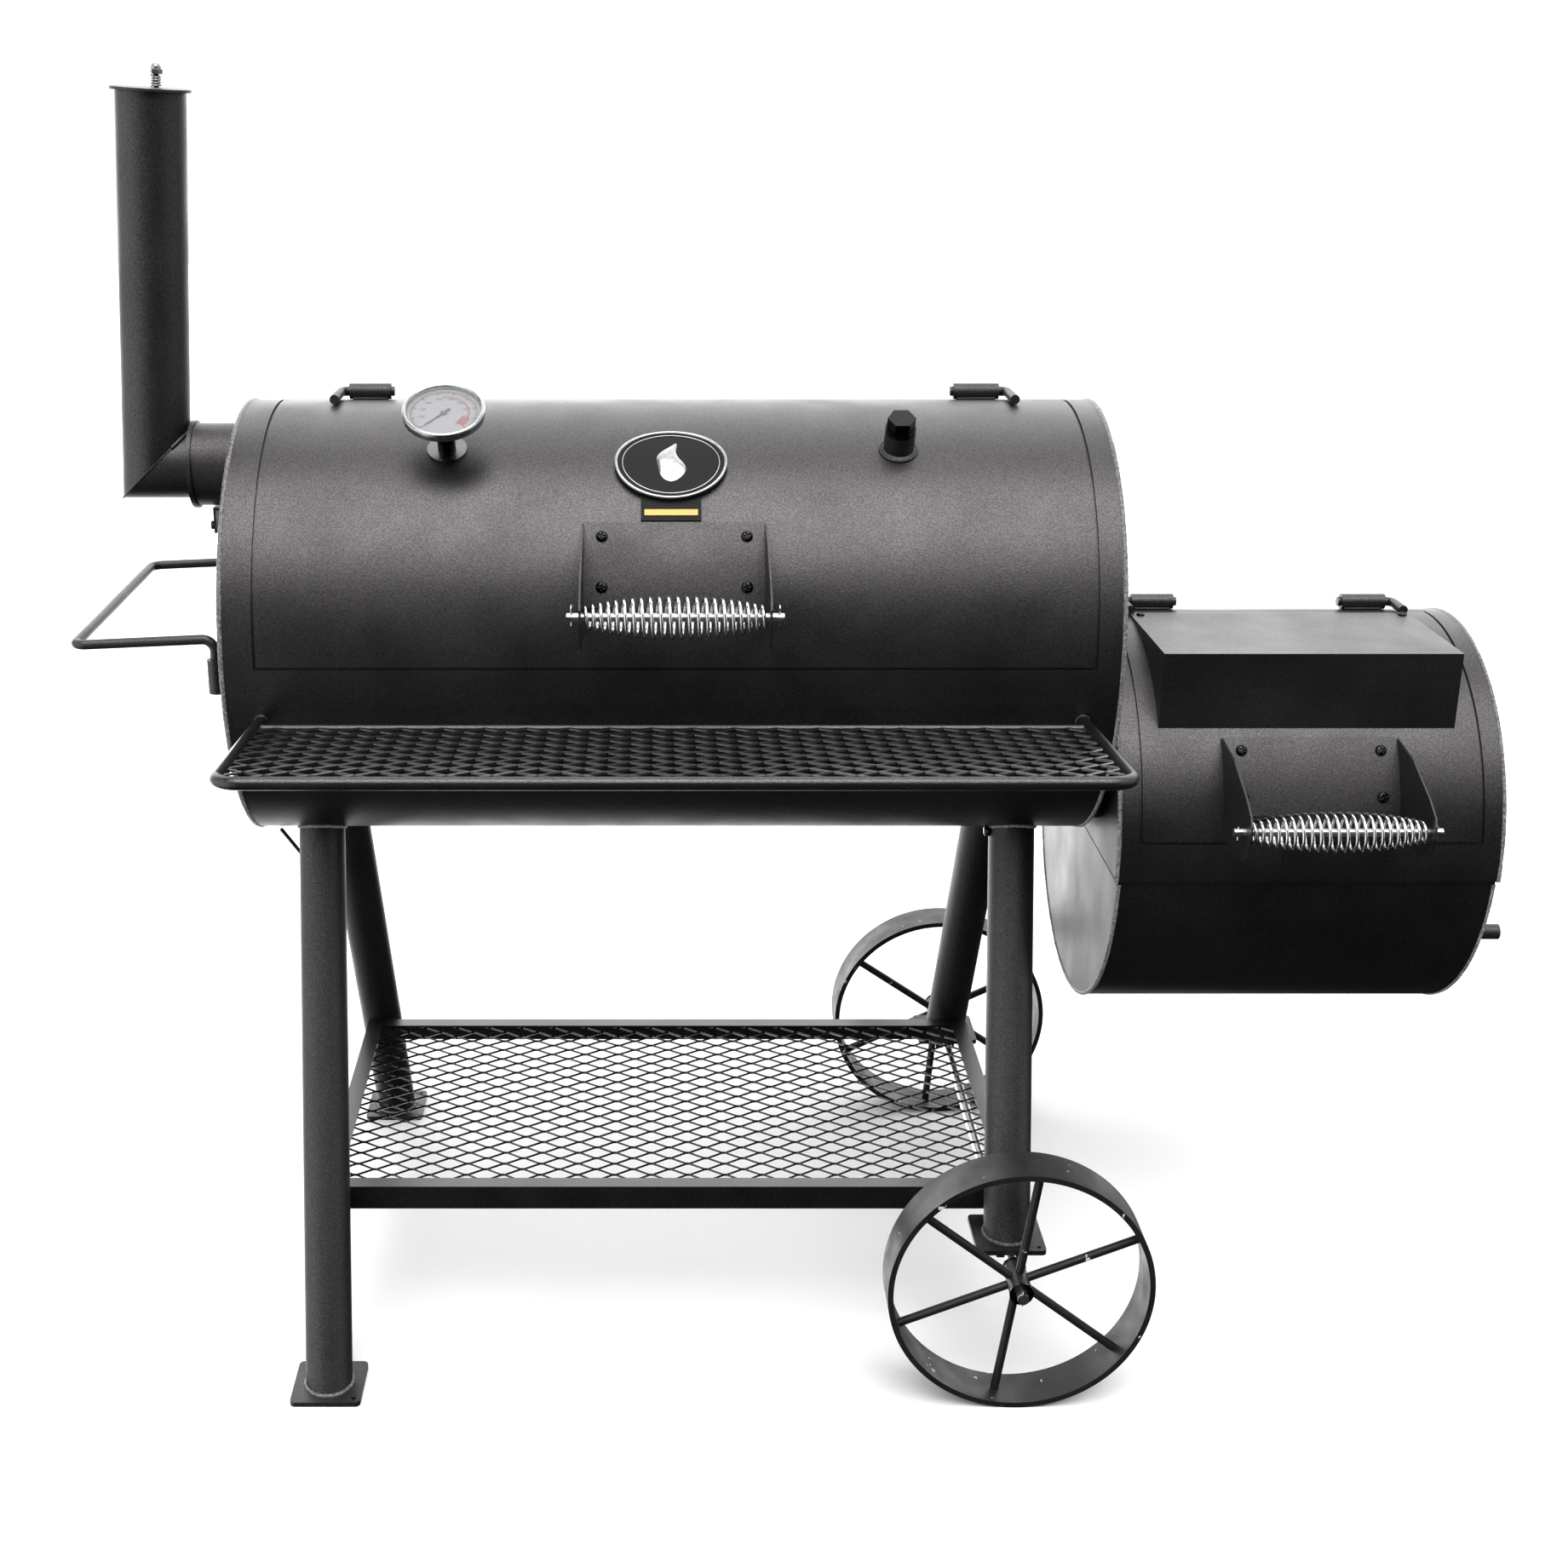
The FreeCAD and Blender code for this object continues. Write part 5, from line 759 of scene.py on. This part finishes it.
def dial_numbers():
    """Plain scale figures round the dial."""
    figures = []
    for number, degrees in enumerate(np.linspace(*SCALE_DEGS, SCALE_FIGURES)):
        curve = bpy.data.curves.new("figure", "FONT")
        curve.body = str(50 + 50 * number)
        curve.size = FIGURE_SIZE
        curve.align_x = "CENTER"
        curve.align_y = "CENTER"
        text = bpy.data.objects.new("figure", curve)
        bpy.context.scene.collection.objects.link(text)
        bpy.context.view_layer.update()
        mesh = bpy.data.meshes.new_from_object(text)
        flat = np.empty(len(mesh.vertices) * 3)
        mesh.vertices.foreach_get("co", flat)
        flat = flat.reshape(-1, 3)
        turn = math.radians(degrees)
        points = gauge_point(flat[:, 0] + FIGURE_R * math.cos(turn),
                             flat[:, 1] + FIGURE_R * math.sin(turn), DIAL_TOP + FIGURE_INK)
        figures.append((points, [list(p.vertices) for p in mesh.polygons]))
        bpy.data.objects.remove(text)
        bpy.data.meshes.remove(mesh)
        bpy.data.curves.remove(curve)
    piece("dial_numbers", *merged(figures), DIAL_BLACK, "main_lid", smooth=False)


def gauge_case_finish():
    """Plated steel cup and flange with a blackened neck between them, told apart by height."""
    bright = (0.5, 0.5, 0.51)
    finish = Finish("gauge_steel", bright, 0.26, 1.0)
    height = finish.tree.nodes.new("ShaderNodeVectorMath")
    height.operation = "DOT_PRODUCT"
    height.inputs[1].default_value = outward(FITTING_DEG)
    finish.join(finish.place, height.inputs[0])
    rise = height.outputs["Value"]
    seat = float(gauge_point(0.0, 0.0, 0.0) @ outward(FITTING_DEG))
    past_low, past_high = (finish.between(rise, 0.0, 1.0, seat + start, seat + end)
                           for start, end in NECK_EDGES)
    marks = finish.noise(180, 4)
    steel = finish.colors(marks, [(0.3, (0.38, 0.38, 0.385)), (0.7, bright)])
    black = finish.colors(marks, [(0.3, (0.012, 0.012, 0.012)), (0.7, (0.02, 0.019, 0.02))])
    finish.paint(finish.mixed(past_high, finish.mixed(past_low, steel, black), steel))
    finish.gloss(finish.between(marks, 0.2, 0.32))
    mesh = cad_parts["gauge_case"].data
    mesh.materials.clear()
    mesh.materials.append(finish.material)


def gauge_bezel():
    """Rolled bezel: a rounded profile of radii and heights carried once round the case."""
    profile = np.array([[0.0408, 0.0542], [0.0410, 0.0560], [0.0420, 0.0568], [0.0436, 0.0568],
                        [0.0449, 0.0562], [0.0454, 0.0548], [0.0454, 0.0500], [0.0449, 0.0480],
                        [0.0436, 0.0472], [0.0420, 0.0472]])
    turn = circle(128)[:, None]
    points = gauge_point(profile[:, 0] * np.cos(turn), profile[:, 0] * np.sin(turn), profile[:, 1])
    piece("gauge_bezel", points, grid_faces(*points.shape[:2], True, True), BEZEL, "main_lid")


# ---- badge -------------------------------------------------------------------------------------
def badge_rim(name, scale, radius, height, material):
    """Raised line round the badge: an ellipse laid on the lid's curve."""
    turn = circle(180)
    x = middle("badge")[0] + scale * BADGE_HALF[0] * np.cos(turn)
    degrees = BADGE_DEG + np.degrees(scale * BADGE_HALF[1] * np.sin(turn) / CHAMBER_R)
    path = on_drum(x, CHAMBER_R + height, degrees, AXIS)
    piece(name, *wire(path, radius, outward(BADGE_DEG), 10, closed=True), material, "main_lid")


def badge_flame():
    """Plain flame on the badge: a drop whose width follows a sine that is fullest low down, bent
    sideways by a growing sine as it rises, and crowned by half an ellipse across it."""
    s = np.linspace(0, 1, 40)[:, None]
    t = np.linspace(-1, 1, 17)[None]
    width = FLAME_HALF_WIDTH * np.sin(math.pi * s ** 0.72) ** 0.85 * (1 - 0.25 * s)
    x = middle("badge")[0] + width * t + FLAME_BEND * np.sin(2.4 * math.pi * s) * s
    rise = FLAME_LOW + FLAME_LENGTH * s + 0 * t
    crown = FLAME_CROWN * np.sqrt(np.clip(1 - t ** 2, 0, 1)) * np.sin(math.pi * s)
    points = on_drum(x, CHAMBER_R + (BADGE_FACE + BADGE_TRIM + crown),
                     BADGE_DEG + np.degrees(rise / CHAMBER_R), AXIS)
    piece("badge_flame", points, grid_faces(*points.shape[:2]), BADGE_SILVER, "main_lid")


# ---- expanded mesh -----------------------------------------------------------------------------
def strand_lines(half_x, y0, y1, reach):
    """Centre lines of expanded sheet: each strand is a zigzag with short flats where it is bonded to
    the next, and every other one is its mirror image. reach gives a strand's half length from its y."""
    pitch_x, pitch_y = MESH_PITCH
    count = int((y1 - y0) // (pitch_y / 2))
    start = (y0 + y1) / 2 - (count - 1) * pitch_y / 4
    lines = []
    for number in range(count):
        y = start + number * pitch_y / 2
        limit = min(half_x, reach(y))
        corner = np.arange(-math.ceil(limit / pitch_x) - 1, math.ceil(limit / pitch_x) + 2, 0.5)
        flats = np.sort(np.concatenate([corner - MESH_BOND / 2, corner + MESH_BOND / 2])) * pitch_x
        x = np.unique(np.clip(flats, -limit, limit))
        phase = np.abs((x / pitch_x + 0.5) % 1 * 2 - 1)
        wave = np.clip((phase - 0.5) / (0.5 - MESH_BOND), -1, 1)
        sign = 1 if number % 2 else -1
        lines.append(np.stack([x, y + sign * wave * pitch_y / 4, 0 * x], 1))
    return lines


def strand_bars(lines, place, width, thick, lean):
    """Strands as flat bars: a four-sided profile carried along each line, its back edge lowered by a
    slope, and the whole set in place by a function."""
    up = np.array([0, 0, 1.0])
    b = up * thick / 2
    parts = []
    for line in lines:
        tangent = unit(np.gradient(line, axis=0))
        side = np.stack([-tangent[:, 1], tangent[:, 0], np.zeros(len(line))], 1)
        a = (side - lean * up) * width / 2
        ring = np.stack([line - a - b, line + a - b, line + a + b, line - a + b], 1)
        faces = grid_faces(len(line), 4, False, True)
        last = 4 * len(line) - 4
        faces += [[3, 2, 1, 0], [last, last + 1, last + 2, last + 3]]
        parts.append((place(ring.reshape(-1, 3)), faces))
    return merged(parts)


def lower_mesh():
    """Expanded sheet of the lower shelf."""
    low, high = (np.array(c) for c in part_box("lower_shelf_mesh"))
    centre = (low + high) / 2
    half = (high - low) / 2
    lines = strand_lines(half[0], -half[1], half[1], lambda y: half[0])
    mesh = piece("lower_mesh_strands", *strand_bars(lines, lambda p: p + centre, *LOWER_STRAND),
                 STRAND_COAT, "frame", smooth=False)
    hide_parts("lower_shelf_mesh")


def front_mesh():
    """Expanded sheet of the front shelf, sloped with it, its strands' ends laid on the bent rod."""
    low, high = (np.array(c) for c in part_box("front_shelf_frame"))
    slope = math.radians(SHELF_SLOPE_DEG)
    depth = SHELF_DEPTH / math.cos(slope)
    origin = np.array([(low[0] + high[0]) / 2, low[1] + SHELF_ROD_R, high[2] - SHELF_ROD_R])
    half_x = (high[0] - low[0]) / 2 - SHELF_ROD_R

    def reach(y):
        inward = max(SHELF_BEND - y, 0)
        return half_x - SHELF_BEND + math.sqrt(max(SHELF_BEND ** 2 - inward ** 2, 0)) - STRAND_SHORT

    def place(points):
        y = points[:, 1] * math.cos(slope) + points[:, 2] * math.sin(slope)
        z = points[:, 2] * math.cos(slope) - points[:, 1] * math.sin(slope)
        return origin + np.stack([points[:, 0], y, z + STRAND_RISE], 1)

    lines = strand_lines(half_x, SHELF_ROD_R * 0.6, depth, reach)
    mesh = piece("front_mesh_strands", *strand_bars(lines, place, *FRONT_STRAND), STRAND_COAT,
                 "frame", smooth=False)
    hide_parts("front_shelf_mesh")


# ---- stack cap's bolt --------------------------------------------------------------------------
def turned_piece(profile, base, along, sides=48):
    """Turned solid: a profile of (radius, height) points carried once round a direction."""
    profile = np.asarray(profile, float)
    along = unit(along)
    ring = around(along, circle(sides)[:, None], [0.0, 1.0, 0.0])
    points = np.asarray(base) + profile[:, 0][:, None] * ring + profile[:, 1][:, None] * along
    faces = grid_faces(sides, len(profile), True, False)
    return points.reshape(-1, 3), faces


def box_piece(low, high):
    """Box between two corners, its faces outwards."""
    points = [[x, y, z] for x in (low[0], high[0]) for y in (low[1], high[1]) for z in (low[2], high[2])]
    return np.array(points), [[0, 1, 3, 2], [4, 6, 7, 5], [0, 4, 5, 1], [2, 3, 7, 6], [0, 2, 6, 4],
                              [1, 5, 7, 3]]


def cap_bolt():
    """Stud with its wound spring and domed hexagon nut, over its tab inside the pipe."""
    corner, up = stack_frame()
    pivot = corner + up * (STACK_HEIGHT / up[2]) + np.array([0, CAP_PIVOT_BACK, 0])
    stud = [(PINHOLE, 0.018), (CAP_STUD_R, 0.018), (CAP_STUD_R, -0.004), (PINHOLE, -0.004)]
    s = np.linspace(0, 1, 200)
    coil_r, wire_r, turns = CAP_SPRING
    radial = around(up, 2 * math.pi * turns * s, [0.0, 1.0, 0.0])
    path = pivot + radial * coil_r + (CAP_SPRING_RISE[0] + CAP_SPRING_RISE[1] * s)[:, None] * up
    dome = [(PINHOLE, 0.0298), (0.0022, 0.0296), (0.0042, 0.0286), (0.0054, 0.0268), (0.0058, 0.0248),
            (0.0058, 0.0222)]
    flats = [(PINHOLE, 0.0234), (0.0062, 0.0234), (0.0071, 0.0229), (0.0071, 0.0183), (0.0062, 0.0178),
             (PINHOLE, 0.0178)]
    steel = merged([turned_piece(stud, pivot, up), wire(path, wire_r, radial, 8),
                    turned_piece(dome, pivot, up)])
    bolt = piece("cap_bolt_steel", *steel, NUT_STEEL, "frame")
    nut = piece("cap_bolt_hexagon", *turned_piece(flats, pivot, up, 6), NUT_STEEL, "frame", smooth=False)
    tab_points, tab_faces = box_piece((-0.008, -0.008, -0.006), (0.008, 0.0062, -0.003))
    tab = piece("cap_bolt_tab", tab_points + pivot, tab_faces, TUBE_COAT, "frame", smooth=False)
    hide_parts("cap_bolt")


def leg_bolt():
    """Domed bolt head at the front right leg's top."""
    top, down = leg_lines()[2]
    spot = top + down * 0.004 + np.array([-LEG_R - 0.0005, -0.004, 0])
    head = [(PINHOLE, 0.0062), (0.004, 0.006), (0.0062, 0.0046), (0.0066, 0.0), (0.0066, -0.002)]
    piece("leg_bolt", *turned_piece(head, spot, (-1, 0, 0), 24), BLACK_ZINC, "frame")


# ---- studio ------------------------------------------------------------------------------------
def studio():
    """Pale floor under soft light."""
    floor_mesh = bpy.data.meshes.new("floor")
    corners = [(x * FLOOR_HALF, y * FLOOR_HALF, 0) for x, y in ((-1, -1), (1, -1), (1, 1), (-1, 1))]
    floor_mesh.from_pydata(corners, [], [(0, 1, 2, 3)])
    floor = bpy.data.objects.new("floor", floor_mesh)
    bpy.context.scene.collection.objects.link(floor)
    floor_mesh.materials.append(plain("studio_floor", (0.82, 0.82, 0.82), 0.7, 0.01, 3))
    floor.visible_glossy = False
    surroundings()
    bpy.context.scene.view_settings.view_transform = "Standard"


def surroundings():
    """Soft studio light as a sky: broad glows, brightest overhead and a little forward, pale behind,
    softer at the left and the upper right, dim elsewhere, and plain white to the camera."""
    world = bpy.data.worlds.new("studio")
    bpy.context.scene.world = world
    world.use_nodes = True
    tree = world.node_tree
    sky = next(n for n in tree.nodes if n.type == "BACKGROUND")
    sky.inputs["Color"].default_value = (1.0, 1.0, 1.0, 1.0)
    way = tree.nodes.new("ShaderNodeTexCoord").outputs["Generated"]
    total = None
    for direction, start, end, strength in SKY_GLOWS:
        near = tree.nodes.new("ShaderNodeVectorMath")
        near.operation = "DOT_PRODUCT"
        near.inputs[1].default_value = direction
        tree.links.new(way, near.inputs[0])
        glow = tree.nodes.new("ShaderNodeMapRange")
        glow.interpolation_type = "SMOOTHSTEP"
        glow.inputs["From Min"].default_value = start
        glow.inputs["From Max"].default_value = end
        glow.inputs["To Min"].default_value = SKY_DIM
        glow.inputs["To Max"].default_value = strength
        tree.links.new(near.outputs["Value"], glow.inputs["Value"])
        if total is None:
            total = glow.outputs["Result"]
            continue
        added = tree.nodes.new("ShaderNodeMath")
        added.operation = "ADD"
        tree.links.new(total, added.inputs[0])
        tree.links.new(glow.outputs["Result"], added.inputs[1])
        total = added.outputs["Value"]
    seen = tree.nodes.new("ShaderNodeMix")
    seen.data_type = "FLOAT"
    light_path = tree.nodes.new("ShaderNodeLightPath")
    tree.links.new(light_path.outputs["Is Camera Ray"], seen.inputs["Factor"])
    tree.links.new(total, seen.inputs["A"])
    seen.inputs["B"].default_value = 1.0
    tree.links.new(seen.outputs["Result"], sky.inputs["Strength"])


def camera():
    """Camera in front of the barrel, looking down at it."""
    data = bpy.data.cameras.new("camera")
    data.lens = CAMERA_LENS
    data.sensor_width = CAMERA_SENSOR
    data.shift_x, data.shift_y = CAMERA_SHIFT
    eye = bpy.data.objects.new("camera", data)
    bpy.context.scene.collection.objects.link(eye)
    eye.location = (AXIS[0] + CAMERA_FROM_AXIS[0], AXIS[1] + CAMERA_FROM_AXIS[1], CAMERA_HEIGHT)
    eye.rotation_euler = (math.radians(90 - CAMERA_DOWN_DEG), 0, 0)
    bpy.context.scene.camera = eye


camera()
studio()
finish_nodes()
gauge_case_finish()
drum_rim_welds()
leg_welds()
stack_welds()
small_welds()
port_welds()
coil_grip("main_coil", "main_coil_grip", AXIS, CHAMBER_R, "main_lid")
coil_grip("firebox_coil", "firebox_coil_grip", FIREBOX_AXIS, FIREBOX_R, "firebox_lid")
handle_screws("main_screw_heads", "main_handle_screws", AXIS, CHAMBER_R,
              middle("main_handle_bracket")[0], "main_lid")
warm_low, warm_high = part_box("warming_top")
handle_screws("firebox_screw_heads", "firebox_screws", FIREBOX_AXIS, FIREBOX_R,
              middle("firebox_handle_bracket")[0], "firebox_lid",
              [(x, warm_high[1] - WARM_SCREW_INSET, warm_high[2])
               for x in (warm_low[0] + WARM_SCREW_INSET, warm_high[0] - WARM_SCREW_INSET)])
dial_marks()
dial_numbers()
gauge_bezel()
badge_rim("badge_outer_rim", 0.972, 0.0019, BADGE_FACE + BADGE_TRIM, BADGE_SILVER)
badge_rim("badge_inner_line", 0.86, 0.0007, BADGE_FACE + BADGE_TRIM / 2, BADGE_SILVER)
badge_flame()
lower_mesh()
front_mesh()
cap_bolt()
leg_bolt()
